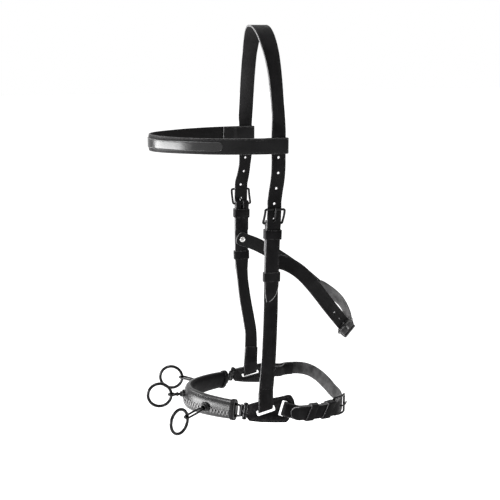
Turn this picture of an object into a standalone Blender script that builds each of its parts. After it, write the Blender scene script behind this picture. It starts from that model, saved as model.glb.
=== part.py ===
"""Riding bridle: a bitless lungeing cavesson with three swivelling noseband rings.

Lengths below are millimetres; everything is turned into metres when a mesh is made.
+X is the horse's near (left) side, -Y is forward towards the nose, +Z is up.
The origin is the middle of the flat underside of the headpiece, on top of the poll.
"""
import math

import bmesh
import bpy
from mathutils import Matrix, Vector

MM = 0.001
GAP = 0.3
SLACK = 0.4

# Leather
LEATHER = 2.6
CROWN_WIDTH = 24.0
LEG_TAPER = (-136.0, -122.0)
BILLET_WIDTH = 18.8
CHEEK_WIDTH = 19.4
THROAT_WIDTH = 19.4
THROAT_END = 8.5
CHIN_WIDTH = 19.0
HOLE_DIAMETER = 3.4
HOLE_PITCH = 20.0
KEEPER_HEIGHT = 12.5
KEEPER_WALL = 1.9

# Headpiece and cheeks
LEG_Y = 5.2
CHEEK_X = 78.0
BAR_Z = -250.0
RIVET_Y = -1.5
CHAPE_LENGTH = 39.0
RIVET_PAST_CHAPE = 14.0
BILLET_LENGTH = 105.0
RUNNER_DROP = {"near": 71.0, "far": 77.0}
TIP_LIFT = {"near": 0.0, "far": 0.9}

# Browband
BROW_Z = -148.4
BROW_REACH = 147.0
BROW_HEIGHT = 20.4
BROW_SWELL = 1.6
BROW_LEATHER = 2.5
BROW_LOOP = 3.05
PANEL_HEIGHT = 12.5
PANEL_DEPTH = 1.8

# Buckles
WIRE = 3.0
FRAME_REACH = 20.0
FRAME_WIDTH = 29.0
TONGUE_WIRE = 2.2

# Noseband
NOSE_YAW = -7.5
NOSE_ROLL = 2.9
NOSE_Y = 2.3
NOSE_Z = -510.8
NOSE_REACH = 101.0
NOSE_HEIGHT = 26.0
NOSE_SWELL = 4.5
NOSE_LEAN = {1: 10.0, 0: 11.0, -1: 20.0}
NOSE_SAG = {1: -1.4, 0: -0.8, -1: -3.8}
NOSE_DEPTH = 14.0
CORE_HEIGHT = 19.0
CORE_DEPTH = 2.4
CAP_LENGTH = 5.5
CAP_WALL = 1.3
PLATE_X = 81.0
PLATE_THICK = 3.0
PLATE_LEAN = {1: 8.0, -1: 20.0}
PLATE_RAISE = {1: 0.0, -1: 3.0}
SLOT_TOP = 2.0
SLOT_HEIGHT = 8.0
SLOT_LENGTH = 24.0
SLOT_TILT = 3.0
CHIN_EDGE = 26.0
CHIN_REAR = 107.5
CHIN_SLOT = 5.6
HINGE_Y = -29.5
HINGE_RAKE = 10.0
KNUCKLE = 2.9
KNUCKLE_HALF = 3.3
PIN = 3.0
CHIN_SLOT_TILT = {1: 18.0, -1: 2.0}
RING_RADIUS = 16.5
RING_WIRE = 4.0
EYE_RADIUS = 4.6
RING_PULL = 0.8
LINK_LENGTH = 36.0
STUD_SPREAD = 56.0
SEAT = -1.0
STUD_DROP = {"near": 0.5, "centre": -1.5, "far": -2.4}
STUD_DROOP = {"near": (8.0, -6.0), "centre": (0.0, 0.0), "far": (0.0, 0.0)}
RING_TURN = {"near": 4.0, "centre": 0.0, "far": 38.0}

PLY = (LEATHER + GAP) / 2
BAR_FOLD = WIRE / 2 + GAP + LEATHER / 2
PLATE_FOLD = PLATE_THICK / 2 + 0.5 + LEATHER / 2
OVER_PLY = PLY + LEATHER + 2 * GAP
OVER_BAR = BAR_FOLD + LEATHER + GAP
FRAME_RISE = OVER_BAR + LEATHER / 2 + GAP + WIRE / 2 + 0.5
STACK_LOW = -PLY - LEATHER / 2 - SLACK
STACK_HIGH = OVER_PLY + LEATHER / 2 + SLACK
SINGLE_LOW = PLY - LEATHER / 2 - SLACK
KEEPER_DROP = 14.2
BILLET_LIFT = 5.2
LEG_TWIST = {1: 0.0, -1: -0.28}
LEG_X = CHEEK_X + BILLET_LIFT
RIVET_Z = BAR_Z - CHAPE_LENGTH - RIVET_PAST_CHAPE
BROW_PIVOT = (0.0, LEG_Y, BROW_Z)
NOSEBAND = (
    Matrix.Translation((0.0, NOSE_Y, NOSE_Z))
    @ Matrix.Rotation(math.radians(NOSE_YAW), 4, "Z")
    @ Matrix.Rotation(math.radians(-NOSE_ROLL), 4, "Y")
)

HIDE = (0.020, 0.019, 0.021, 1.0)
PATENT = (0.024, 0.023, 0.026, 1.0)
BLACKED = (0.018, 0.018, 0.020, 1.0)
NICKEL = (0.62, 0.61, 0.60, 1.0)


def clear_scene():
    """Empty the file of objects before building."""
    for obj in list(bpy.data.objects):
        bpy.data.objects.remove(obj, do_unlink=True)


clear_scene()
BRIDLE = bpy.data.collections.new("riding_bridle")
CUTTERS = bpy.data.collections.new("cutters")
for group in (BRIDLE, CUTTERS):
    bpy.context.scene.collection.children.link(group)


def finish_for(name, colour, metal, rough):
    """Make one Principled material."""
    mat = bpy.data.materials.new(name)
    mat.use_nodes = True
    shader = mat.node_tree.nodes["Principled BSDF"]
    shader.inputs["Base Color"].default_value = colour
    shader.inputs["Metallic"].default_value = metal
    shader.inputs["Roughness"].default_value = rough
    mat.diffuse_color = colour
    return mat


KINDS = {
    "leather": (HIDE, 0.0, 0.55),
    "patent": (PATENT, 0.0, 0.25),
    "blacked_metal": (BLACKED, 0.9, 0.35),
    "nickel": (NICKEL, 1.0, 0.25),
}


def publish(name, mesh, kind, pivot=None):
    """Put a millimetre mesh into the scene as one named piece in metres."""
    origin = Vector(pivot) if pivot is not None else Vector((0.0, 0.0, 0.0))
    mesh.transform(Matrix.Scale(MM, 4) @ Matrix.Translation(-origin))
    mesh.name = name
    mesh.materials.clear()
    mesh.materials.append(finish_for(name + "_finish", *KINDS[kind]))
    obj = bpy.data.objects.new(name, mesh)
    obj.location = origin * MM
    BRIDLE.objects.link(obj)
    return obj


def mesh_of(bm):
    """Close a bmesh into a mesh with its normals pointing out."""
    bmesh.ops.recalc_face_normals(bm, faces=bm.faces)
    mesh = bpy.data.meshes.new("piece")
    bm.to_mesh(mesh)
    bm.free()
    return mesh


def smooth(obj):
    """Shade a round piece smooth."""
    for face in obj.data.polygons:
        face.use_smooth = True
    return obj


class Line:
    """A smooth centre line that knows its outward side at every point."""

    def __init__(self, knots, per_span=10):
        places = [Vector(k[0]) for k in knots]
        sides = [Vector(k[1]).normalized() for k in knots]
        self.points = []
        self.sides = []
        last = len(places) - 1
        for i in range(last):
            before = places[i - 1] if i else places[0] * 2 - places[1]
            after = places[i + 2] if i + 2 <= last else places[last] * 2 - places[last - 1]
            for k in range(per_span):
                self.points.append(spline(before, places[i], places[i + 1], after, k / per_span))
                self.sides.append(sides[i].lerp(sides[i + 1], k / per_span).normalized())
        self.points.append(places[last].copy())
        self.sides.append(sides[last].copy())
        self.reach = [0.0]
        for one, two in zip(self.points, self.points[1:]):
            self.reach.append(self.reach[-1] + (two - one).length)

    @property
    def length(self):
        """Whole length of the line."""
        return self.reach[-1]

    def slope(self, i):
        """Direction of the line at a sample."""
        lo = max(i - 1, 0)
        hi = min(i + 1, len(self.points) - 1)
        return (self.points[hi] - self.points[lo]).normalized()

    def at(self, s):
        """Place, run, across and outward directions at a distance along the line."""
        last = len(self.points) - 1
        if s <= 0.0:
            run = self.slope(0)
            place = self.points[0] + run * s
            side = self.sides[0]
        elif s >= self.length:
            run = self.slope(last)
            place = self.points[last] + run * (s - self.length)
            side = self.sides[last]
        else:
            i = 0
            while self.reach[i + 1] < s:
                i += 1
            f = (s - self.reach[i]) / (self.reach[i + 1] - self.reach[i])
            place = self.points[i].lerp(self.points[i + 1], f)
            run = self.slope(i).lerp(self.slope(i + 1), f).normalized()
            side = self.sides[i].lerp(self.sides[i + 1], f)
        side = (side - run * side.dot(run)).normalized()
        return place, run, run.cross(side), side

    def frame(self, s, lift=0.0):
        """Matrix with x across, y along the run and z outward."""
        place, run, across, side = self.at(s)
        place = place + side * lift
        return Matrix((
            (across.x, run.x, side.x, place.x),
            (across.y, run.y, side.y, place.y),
            (across.z, run.z, side.z, place.z),
            (0.0, 0.0, 0.0, 1.0),
        ))


def spline(a, b, c, d, t):
    """Catmull-Rom point between b and c."""
    square = 2 * a - 5 * b + 4 * c - d
    cube = 3 * b - a - 3 * c + d
    return 0.5 * (2 * b + (c - a) * t + square * t * t + cube * t ** 3)


def lay(line, marks):
    """Turn (distance, lift, width) marks on a line into sweep stations."""
    stations = []
    for s, lift, width in marks:
        place, run, across, side = line.at(s)
        stations.append((place + side * lift, across, width))
    return stations


def blend(marks, step=5.0):
    """Fill in evenly spaced marks between the given ones with an eased lift."""
    filled = []
    for (s0, n0, w0), (s1, n1, w1) in zip(marks, marks[1:]):
        count = max(1, int(math.ceil(abs(s1 - s0) / step)))
        for k in range(count):
            t = k / count
            ease = t * t * (3 - 2 * t)
            filled.append((s0 + (s1 - s0) * t, n0 + (n1 - n0) * ease, w0 + (w1 - w0) * ease))
    filled.append(marks[-1])
    return filled


def fold(s, radius, width, start, turns, count=8):
    """Marks around a turned-back end: angles run from the outer ply over the end."""
    marks = []
    for k in range(count + 1):
        angle = math.radians(start + turns * k / count)
        marks.append((s + radius * math.cos(angle), radius * math.sin(angle), width))
    return marks


def strap_section(width, thick):
    """Flat strap section."""
    w = width / 2
    t = thick / 2
    return [(-w, -t), (w, -t), (w, t), (-w, t)]


def grow(bm, ring, places):
    """Extrude a closed loop of vertices one step and set it down on new places."""
    edges = [bm.edges.get((a, b)) for a, b in zip(ring, ring[1:] + ring[:1])]
    made = set(bmesh.ops.extrude_edge_only(bm, edges=edges)["geom"])
    fresh = []
    for vert in ring:
        fresh.append(next(e.other_vert(vert) for e in vert.link_edges if e.other_vert(vert) in made))
    for vert, place in zip(fresh, places):
        vert.co = place
    return fresh


def start_ring(bm, places):
    """First closed loop of vertices of a swept piece."""
    ring = [bm.verts.new(p) for p in places]
    for a, b in zip(ring, ring[1:] + ring[:1]):
        bm.edges.new((a, b))
    return ring


def cap(bm, ring):
    """Fill a loop with one face."""
    edges = [bm.edges.get((a, b)) for a, b in zip(ring, ring[1:] + ring[:1])]
    bmesh.ops.contextual_create(bm, geom=edges)


def rings_along(stations, section, thick):
    """Section outlines set square on the path through the stations."""
    rings = []
    last = len(stations) - 1
    for i, (place, across, width) in enumerate(stations):
        run = (stations[min(i + 1, last)][0] - stations[max(i - 1, 0)][0]).normalized()
        over = (across - run * across.dot(run)).normalized()
        if rings and over.dot(before) < 0:
            over.negate()
        before = over
        up = run.cross(over)
        rings.append([place + over * x + up * y for x, y in section(width, thick)])
    return rings


def sweep(stations, section=strap_section, thick=LEATHER):
    """Pull a closed section along stations; returns a mesh with both ends filled."""
    bm = bmesh.new()
    rings = rings_along(stations, section, thick)
    ring = start_ring(bm, rings[0])
    cap(bm, ring)
    for places in rings[1:]:
        ring = grow(bm, ring, places)
    cap(bm, ring)
    return mesh_of(bm)


def tube(stations, section, thick, inner, inner_width, inner_thick):
    """Pull a hollow section along stations; both ends are open onto one bore."""
    bm = bmesh.new()
    outside = rings_along(stations, section, thick)
    bore_stations = [(place, across, inner_width) for place, across, width in stations]
    inside = rings_along(bore_stations, inner, inner_thick)
    ring = start_ring(bm, outside[0])
    first = ring
    for places in outside[1:]:
        ring = grow(bm, ring, places)
    ring = grow(bm, ring, inside[-1])
    for places in reversed(inside[:-1]):
        ring = grow(bm, ring, places)
    edges = [bm.edges.get((a, b)) for loop in (ring, first) for a, b in zip(loop, loop[1:] + loop[:1])]
    bmesh.ops.bridge_loops(bm, edges=edges)
    return mesh_of(bm)


def on_line(line, s, x, z):
    """Point across and outward from a place on a line."""
    place, run, across, side = line.at(s)
    return place + across * x + side * z


def hoop(line, s, half_x, low_z, high_z, height, corner=0.7):
    """Closed keeper round a stack of straps, following the line it sits on."""
    bm = bmesh.new()
    wall = KEEPER_WALL
    inner = rounded(half_x, low_z, high_z, corner)
    outer = rounded(half_x + wall, low_z - wall, high_z + wall, corner + wall)
    levels = (s - height / 2, s, s + height / 2)
    first = start_ring(bm, [on_line(line, levels[0], x, z) for x, z in outer])
    ring = first
    for level in levels[1:]:
        ring = grow(bm, ring, [on_line(line, level, x, z) for x, z in outer])
    for level in reversed(levels):
        ring = grow(bm, ring, [on_line(line, level, x, z) for x, z in inner])
    edges = [bm.edges.get((a, b)) for loop in (ring, first) for a, b in zip(loop, loop[1:] + loop[:1])]
    bmesh.ops.bridge_loops(bm, edges=edges)
    return mesh_of(bm)


def rounded(half_x, low_z, high_z, corner, steps=2):
    """Corner points of a rounded rectangle."""
    corner = min(corner, (high_z - low_z) / 2 - 0.05)
    points = []
    for cx, cz, start in (
        (half_x - corner, high_z - corner, 0),
        (-half_x + corner, high_z - corner, 90),
        (-half_x + corner, low_z + corner, 180),
        (half_x - corner, low_z + corner, 270),
    ):
        for k in range(steps + 1):
            angle = math.radians(start + 90 * k / steps)
            points.append((cx + corner * math.cos(angle), cz + corner * math.sin(angle)))
    return points


def wire(points, diameter, closed, sides=2):
    """Round wire along points, as a mesh."""
    curve = bpy.data.curves.new("wire", "CURVE")
    curve.dimensions = "3D"
    curve.bevel_depth = diameter / 2
    curve.bevel_resolution = sides
    curve.use_fill_caps = not closed
    path = curve.splines.new("POLY")
    path.points.add(len(points) - 1)
    for spot, place in zip(path.points, points):
        spot.co = (place[0], place[1], place[2], 1.0)
    path.use_cyclic_u = closed
    carrier = bpy.data.objects.new("wire", curve)
    CUTTERS.objects.link(carrier)
    bpy.context.view_layer.update()
    shape = carrier.evaluated_get(bpy.context.evaluated_depsgraph_get())
    mesh = bpy.data.meshes.new_from_object(shape)
    bpy.data.objects.remove(carrier, do_unlink=True)
    bpy.data.curves.remove(curve)
    bm = bmesh.new()
    bm.from_mesh(mesh)
    bpy.data.meshes.remove(mesh)
    bmesh.ops.remove_doubles(bm, verts=bm.verts, dist=0.0001)
    return mesh_of(bm)


def turned(frame, outline, sides=16):
    """Lathe a (radius, height) outline round the frame's z axis."""
    bm = bmesh.new()
    turns = [math.tau * k / sides for k in range(sides)]
    ring = None
    for radius, height in outline:
        places = [frame @ Vector((radius * math.cos(a), radius * math.sin(a), height)) for a in turns]
        if ring is None:
            ring = start_ring(bm, places)
            cap(bm, ring)
        else:
            ring = grow(bm, ring, places)
    cap(bm, ring)
    return mesh_of(bm)


def shape_with(obj, meshes, operation):
    """Give a piece one exact Boolean step for each millimetre mesh."""
    for count, mesh in enumerate(meshes):
        mesh.transform(Matrix.Scale(MM, 4))
        tool = bpy.data.objects.new(obj.name + "_" + operation.lower() + str(count), mesh)
        tool.hide_render = True
        tool.display_type = "WIRE"
        CUTTERS.objects.link(tool)
        step = obj.modifiers.new(tool.name, "BOOLEAN")
        step.operation = operation
        step.solver = "EXACT"
        step.object = tool
    return obj


def cut(obj, meshes):
    """Take meshes out of a piece."""
    return shape_with(obj, meshes, "DIFFERENCE")


def join(obj, meshes):
    """Weld meshes onto a piece."""
    return shape_with(obj, meshes, "UNION")


def punch(line, s, lift, diameter=HOLE_DIAMETER):
    """Cutter for one round punched hole square to a strap."""
    frame = line.frame(s, lift)
    depth = LEATHER
    return turned(frame, [(diameter / 2, -depth), (diameter / 2, depth)], sides=12)


def block(frame, x0, x1, y0, y1, z0, z1):
    """Box in a frame, as a mesh."""
    bm = bmesh.new()
    bmesh.ops.create_cube(bm, size=1.0)
    size = Matrix.Diagonal((x1 - x0, y1 - y0, z1 - z0, 1.0))
    move = Matrix.Translation(((x0 + x1) / 2, (y0 + y1) / 2, (z0 + z1) / 2))
    bmesh.ops.transform(bm, matrix=frame @ move @ size, verts=bm.verts)
    return mesh_of(bm)


def pointed(marks, length=9.0):
    """Round off the free end of a strap whose last mark is its tip."""
    s_tip, lift, full = marks[-1]
    back = 1.0 if marks[-2][0] < s_tip else -1.0
    body = [m for m in marks if (s_tip - m[0]) * back > length + 0.5]
    tip = []
    for k in range(7):
        t = k / 6
        round_off = max(0.22, math.sqrt(max(0.0, 1 - t ** 2.2)))
        tip.append((s_tip - back * length * (1 - t), lift, full * round_off))
    return body + tip


def buckle_frame(line, s, rise=FRAME_RISE, width=FRAME_WIDTH, reach=FRAME_REACH):
    """Frame wire: the bar lies at s, the tongue end is reach further up and stands proud."""
    half = width / 2 - WIRE / 2
    corner = 3.2
    outline = []
    for cx, cy, start in (
        (half - corner, -corner, 0),
        (-half + corner, -corner, 90),
        (-half + corner, -reach + corner, 180),
        (half - corner, -reach + corner, 270),
    ):
        for k in range(4):
            angle = math.radians(start + 30 * k)
            outline.append((cx + corner * math.cos(angle), cy + corner * math.sin(angle)))
    points = []
    for x, y in outline:
        up = min(max(-y / reach, 0.0), 1.0)
        points.append(on_line(line, s + y, x, rise * math.sin(up * math.pi / 2) ** 1.15))
    return wire(points, WIRE, True)


def tongue(line, s, rise=FRAME_RISE, reach=FRAME_REACH):
    """Tongue wire: an eye round the bar, then a shank out through the punched hole."""
    eye = WIRE / 2 + GAP + TONGUE_WIRE / 2
    profile = []
    for k in range(12):
        angle = math.radians(95 - 290 * k / 11)
        profile.append((eye * math.cos(angle), eye * math.sin(angle)))
    top = rise + WIRE / 2 + TONGUE_WIRE / 2 + GAP
    profile += [(-3.2, 2.6), (-4.6, 4.4), (-6.3, 6.2), (-6.9, 8.0), (-8.6, 10.1), (-12.0, 11.6)]
    profile += [(-reach, top + 0.3), (-reach - 2.6, top + 0.5)]
    return wire([on_line(line, s + y, 0.0, z) for y, z in profile], TONGUE_WIRE, False)


UP = Vector((0.0, 0.0, 1.0))
JOWL_UP = Vector((0.0, 0.65, 0.76))
SIDES = (("near", 1), ("far", -1))
STUDS = ("near", "centre", "far")


def noseband(x, y, z):
    """World place of a point given in the noseband's own frame."""
    return NOSEBAND @ Vector((x, y, z))


def plate_frame(side):
    """Frame of a flat side plate: x outward on the near side, y to the rear, z up the plate."""
    place = Matrix.Translation((side * PLATE_X, 0.0, PLATE_RAISE[side]))
    return NOSEBAND @ place @ Matrix.Rotation(math.radians(-side * PLATE_LEAN[side]), 4, "Y")


def facing(points, up, sign=1.0):
    """Knots whose outward side is square to the path and to an up direction."""
    places = [Vector(p) for p in points]
    last = len(places) - 1
    knots = []
    for i, place in enumerate(places):
        run = places[min(i + 1, last)] - places[max(i - 1, 0)]
        knots.append((place, up.cross(run).normalized() * sign))
    return knots


def cheek_line(side):
    """Middle of one cheekpiece from its buckle bar down to the slot of the side plate."""
    plate = plate_frame(side)
    foot = plate @ Vector((0.0, 0.2, SLOT_TOP))
    out = plate.to_3x3() @ Vector((side, 0.0, 0.0))
    lean = -math.tan(math.radians(SLOT_TILT))
    above = [plate @ Vector((0.0, 0.2 + rise * lean, SLOT_TOP + rise)) for rise in (24.0, 12.0)]
    if side > 0:
        knots = [
            ((CHEEK_X, -0.8, BAR_Z), (1, 0, 0)),
            ((CHEEK_X, -1.6, BAR_Z - 27), (1, 0, 0)),
            ((CHEEK_X, -2.5, BAR_Z - 57), (1, 0, 0)),
            ((CHEEK_X, -2.9, BAR_Z - 87), (1, 0, 0)),
            ((CHEEK_X, -3.1, BAR_Z - 117), (1, 0, 0)),
            ((CHEEK_X + 0.6, -4.2, BAR_Z - 150), (1, -0.03, 0)),
            ((CHEEK_X + 1.3, -5.4, BAR_Z - 190), (0.995, -0.08, 0)),
        ]
    else:
        knots = [
            ((-CHEEK_X, -1.8, BAR_Z), (-1, 0, 0)),
            ((-CHEEK_X, -2.2, BAR_Z - 27), (-1, 0, 0)),
            ((-CHEEK_X, -2.0, BAR_Z - 62), (-1, 0, 0)),
            ((-CHEEK_X, -1.6, BAR_Z - 84), (-1, 0, 0)),
            ((-CHEEK_X, -1.0, BAR_Z - 99), (-0.95, -0.31, 0)),
            ((-CHEEK_X, 0.4, BAR_Z - 116), (-0.91, -0.42, 0)),
            ((-CHEEK_X - 0.3, 2.8, BAR_Z - 136), (-0.93, -0.37, 0)),
            ((-CHEEK_X - 0.8, 6.0, BAR_Z - 156), (-0.94, -0.34, 0)),
            ((-CHEEK_X - 1.3, 9.8, BAR_Z - 177), (-0.95, -0.31, 0)),
            ((-CHEEK_X - 1.8, 13.2, BAR_Z - 202), (-0.97, -0.24, 0)),
        ]
    return Line(knots + [(above[0], out), (above[1], out), (foot, out)])


CHEEK = {"near": cheek_line(1), "far": cheek_line(-1)}


def crown_line(side):
    """Middle of one half of the headpiece from the poll down to the cheek buckle."""
    knots = [
        ((0, 0, LEATHER / 2), (0, 0, 1)),
        ((8, 0, LEATHER / 2), (0, 0, 1)),
        ((20, 0.8, -2.2), (0.36, 0.0, 0.93)),
        ((32, 1.8, -9.5), (0.60, 0.06, 0.8)),
        ((43, 2.8, -20.5), (0.70, 0.14, 0.7)),
        ((52, 3.6, -32.0), (0.78, 0.24, 0.6)),
        ((59.5, 4.2, -44.5), (0.82, 0.33, 0.48)),
        ((66, 4.7, -59), (0.85, 0.40, 0.36)),
        ((71.5, 5.0, -75), (0.87, 0.42, 0.27)),
        ((76.5, 5.3, -94), (0.87, 0.43, 0.2)),
        ((LEG_X - 2.4, LEG_Y + 0.3, -111), (0.88, 0.46, 0.1)),
        ((LEG_X - 0.4, LEG_Y, -123), (0.97, 0.24, 0)),
        ((LEG_X, LEG_Y, -134), (1, 0, 0)),
        ((LEG_X, LEG_Y, -158), (1, 0, 0)),
        ((LEG_X, LEG_Y, -177), (1, 0, 0)),
        ((LEG_X, LEG_Y - 1.2, -193), (1, LEG_TWIST[side], 0)),
        ((LEG_X, LEG_Y - 3.4, -207), (1, LEG_TWIST[side] * 0.6, 0)),
    ]
    foot = CHEEK["near" if side > 0 else "far"].at(-30.0)
    knots = [((x * side, y, z), (nx * side, ny, nz)) for (x, y, z), (nx, ny, nz) in knots]
    return Line(knots + [(foot[0] + foot[3] * BILLET_LIFT, foot[3])])


CROWN = {"near": crown_line(1), "far": crown_line(-1)}


def brow_line():
    """Middle of the browband from its near end round the forehead to its far end."""
    loop_x = LEG_X + BROW_LOOP
    shares = [(0.983, 0.150), (0.945, 0.286), (0.881, 0.429), (0.800, 0.558)]
    shares += [(0.672, 0.694), (0.516, 0.820), (0.336, 0.922), (0.151, 0.983)]
    half = [(loop_x, LEG_Y + BILLET_WIDTH / 2 - 0.3), (loop_x, -6)]
    half += [(loop_x * x, -BROW_REACH * y) for x, y in shares]
    points = half + [(0, -BROW_REACH)] + [(-x, y) for x, y in reversed(half)]
    return Line(facing([(x, y, BROW_Z) for x, y in points], UP))


BROW = brow_line()
THROAT_X = CHEEK_X - PLY


def throat_line():
    """Middle of the throat strap from the near rivet round the jaw to the far rivet."""
    drops = [(THROAT_X, 12, 0.3), (THROAT_X - 0.2, 26, 6.5), (THROAT_X - 1.05, 40, 16.8)]
    drops += [(THROAT_X - 3.55, 54, 31.3), (68, 70.5, 51.3), (60.5, 87, 72.3), (49, 103.5, 92.5)]
    drops += [(36.5, 117, 107.5), (22, 126.5, 117.5), (7, 132, 117), (-8, 132.5, 108), (-25, 126.5, 93)]
    drops += [(-44, 110, 75), (-61, 86, 53), (-THROAT_X + 5.55, 61, 34), (-THROAT_X + 1.05, 38, 19)]
    drops += [(-THROAT_X, 18, 8)]
    rivets = [(THROAT_X, RIVET_Y, RIVET_Z), (-THROAT_X, RIVET_Y, RIVET_Z)]
    path = rivets[:1] + [(x, y, RIVET_Z - drop) for x, y, drop in drops] + rivets[1:]
    return Line(facing(path, JOWL_UP, -1.0))


THROAT = throat_line()


def slot_end(side):
    """Knots of the chin line beside a rear slot, lying flat in the side plate."""
    plate = plate_frame(side)
    out = plate.to_3x3() @ Vector((side, 0.0, 0.0))
    drop = math.tan(math.radians(CHIN_SLOT_TILT[side]))
    return [(plate @ Vector((0.0, CHIN_EDGE + run, -1.0 - run * drop)), out) for run in (0.0, 9.0, 18.0)]


def chin_line():
    """Middle of the chin strap from the far plate's rear slot round the back to the near plate's."""
    far = PLATE_X - 4.0
    near = PLATE_X + 4.3
    rear = CHIN_REAR
    drops = [(-far, 66, -1.3), (-far - 1, 77, -0.8), (-far + 1, rear - 19.5, -0.3)]
    drops += [(-far + 7.5, rear - 10.5, 0.4), (-far + 19, rear - 4.5, 1.5), (-42, rear - 1, 2.7)]
    drops += [(-20, rear, 3.2), (4, rear - 0.3, 3.2), (28, rear - 1.5, 3.2), (48, rear - 3.7, 3.2)]
    drops += [(near - 22.3, rear - 8, 3.2), (near - 10.8, rear - 15, 3.2), (near - 3.8, rear - 25, 3.2)]
    drops += [(near - 0.7, 70, 3.2), (near, 56, 3.5)]
    path = [(x, y, NOSE_Z - drop) for x, y, drop in drops]
    return Line(slot_end(-1) + facing(path, UP) + list(reversed(slot_end(1))))


CHIN = chin_line()


def nose_line():
    """Middle of the nosepiece from its near end round the front, leaning in towards its ends."""
    end_x = PLATE_X - 4.5
    end_y = HINGE_Y - 7.5
    shares = [(1, 0), (0.922, 0.148), (0.824, 0.328), (0.693, 0.523)]
    shares += [(0.549, 0.703), (0.386, 0.859), (0.203, 0.966)]
    half = [(end_x * x, end_y - (NOSE_REACH + end_y) * y) for x, y in shares]
    points = half + [(0, -NOSE_REACH)] + [(-x, y) for x, y in reversed(half)]
    middle = len(half)
    knots = []
    for i, (x, y) in enumerate(points):
        side = 1 if i < middle else -1
        away = abs(i - middle) / middle
        knots.append(noseband(x, y, NOSE_SAG[0] + (NOSE_SAG[side] - NOSE_SAG[0]) * away * away))
    leaning = []
    for i, (place, out) in enumerate(facing(knots, UP)):
        side = 1 if i < middle else -1
        lean = math.radians(NOSE_LEAN[0] + (NOSE_LEAN[side] - NOSE_LEAN[0]) * abs(i - middle) / middle)
        leaning.append((place, out * math.cos(lean) + UP * math.sin(lean)))
    return Line(leaning)


NOSE = nose_line()
CHIN_BAR = CHIN.length - 75.0
THROAT_BAR = 178.0
CHIN_RUNNER = 38.0


def chape(line, bar, inner_length, width, far_marks):
    """Strap that carries a buckle: turned back round the bar, then on along the line."""
    marks = [(bar + inner_length, -PLY, width), (bar + 9.0, -PLY, width)]
    marks.append((bar + 3.0, -BAR_FOLD + 0.2, width))
    marks += fold(bar, BAR_FOLD, width, -90, -180)
    marks += [(bar + 3.0, BAR_FOLD - 0.2, width), (bar + 9.0, PLY, width)]
    return lay(line, blend(marks[:2]) + marks[2:-1] + blend(marks[-1:] + far_marks))


def billet(bar, start, stop, width, tip=0.0):
    """Lifts of a strap end that goes under a frame, over its bar and down the outside."""
    marks = start + [
        (bar - 30.0, BILLET_LIFT, width),
        (bar - 21.0, OVER_BAR + 0.05, width),
        (bar, OVER_BAR + 0.05, width),
        (bar + 8.0, OVER_PLY + 0.5, width),
        (bar + 14.0, OVER_PLY, width),
        (stop - 25.0, OVER_PLY, width),
        (stop - 10.0, OVER_PLY + tip, width),
        (stop, OVER_PLY + tip, width),
    ]
    return pointed(blend(marks))


def tongue_hole(line, bar, lift):
    """Cutter for the oblong hole that holds the tongue."""
    return block(line.frame(bar - 5.8, lift), -1.6, 1.6, -2.9, 2.9, -LEATHER, LEATHER)


def tongue_slot(line, bar):
    """Cutter for the slot a tongue needs in its turned-back strap."""
    return block(line.frame(bar), -1.9, 1.9, -6.0, 8.0, -7.0, 5.0)


def build_headpiece():
    """One strap over the poll with a punched billet at each end."""
    stations = []
    cutters = []
    for name, side in SIDES:
        crown = CROWN[name]
        cheek = CHEEK[name]
        half = []
        steps = 34
        for k in range(steps):
            place, run, across, out = crown.at(7.5 + (crown.length - 7.5) * k / steps)
            spread = min(max((place.z - LEG_TAPER[0]) / (LEG_TAPER[1] - LEG_TAPER[0]), 0.0), 1.0)
            spread = spread * spread * (3 - 2 * spread)
            half.append((place, across, BILLET_WIDTH + (CROWN_WIDTH - BILLET_WIDTH) * spread))
        half += lay(cheek, billet(0.0, [], BILLET_LENGTH, BILLET_WIDTH, TIP_LIFT[name]))
        stations = list(reversed(half)) if side > 0 else stations + half
        for count in range(4):
            s = crown.length + 30.0 - 7.0 - HOLE_PITCH * (count + 1)
            cutters.append(punch(crown, s, 0.0))
        cutters.append(tongue_hole(cheek, 0.0, OVER_BAR))
    obj = publish("headpiece", sweep(stations), "leather")
    cut(obj, cutters)


def build_cheeks():
    """Cheekpieces with their buckles, tongues, keepers and throat-strap rivets."""
    for name, side in SIDES:
        line = CHEEK[name]
        end = line.length
        w = CHEEK_WIDTH
        lower = [
            (end - 27.0, PLY, w),
            (end - 19.0, PLATE_FOLD, w),
            (end, PLATE_FOLD, w),
        ]
        stations = chape(line, 0.0, CHAPE_LENGTH, w, lower)
        stations += lay(line, fold(end, PLATE_FOLD, w, 90, -180)[1:])
        inside = [(end - 19.0, -PLATE_FOLD, w), (end - 27.0, -PLY, w), (end - 42.0, -PLY, w)]
        stations += lay(line, blend(inside))
        obj = publish("cheekpiece_" + name, sweep(stations), "leather")
        rivet = rivet_frame(side)
        cut(obj, [tongue_slot(line, 0.0), turned(rivet, [(2.2, -1.0), (2.2, 4.0)])])
        bar = line.at(0.0)[0]
        smooth(publish("cheek_buckle_frame_" + name, buckle_frame(line, 0.0), "blacked_metal"))
        smooth(publish("cheek_buckle_tongue_" + name, tongue(line, 0.0), "blacked_metal", bar))
        drop = RUNNER_DROP[name]
        fixed = hoop(line, KEEPER_DROP, w / 2 + SLACK, STACK_LOW - SLACK, STACK_HIGH + SLACK, KEEPER_HEIGHT)
        runner = hoop(line, drop, w / 2 + SLACK, SINGLE_LOW, STACK_HIGH, KEEPER_HEIGHT)
        publish("cheek_fixed_keeper_" + name, fixed, "leather")
        publish("cheek_runner_" + name, runner, "leather", line.at(drop)[0])
        depth = PLY + LEATHER / 2
        smooth(publish("throat_rivet_" + name, turned(rivet, [
            (2.6, -depth - GAP - 1.4),
            (4.0, -depth - GAP - 0.9),
            (4.0, -depth - GAP),
            (1.9, -depth - GAP),
            (1.9, depth - 0.3),
        ]), "nickel"))


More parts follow.
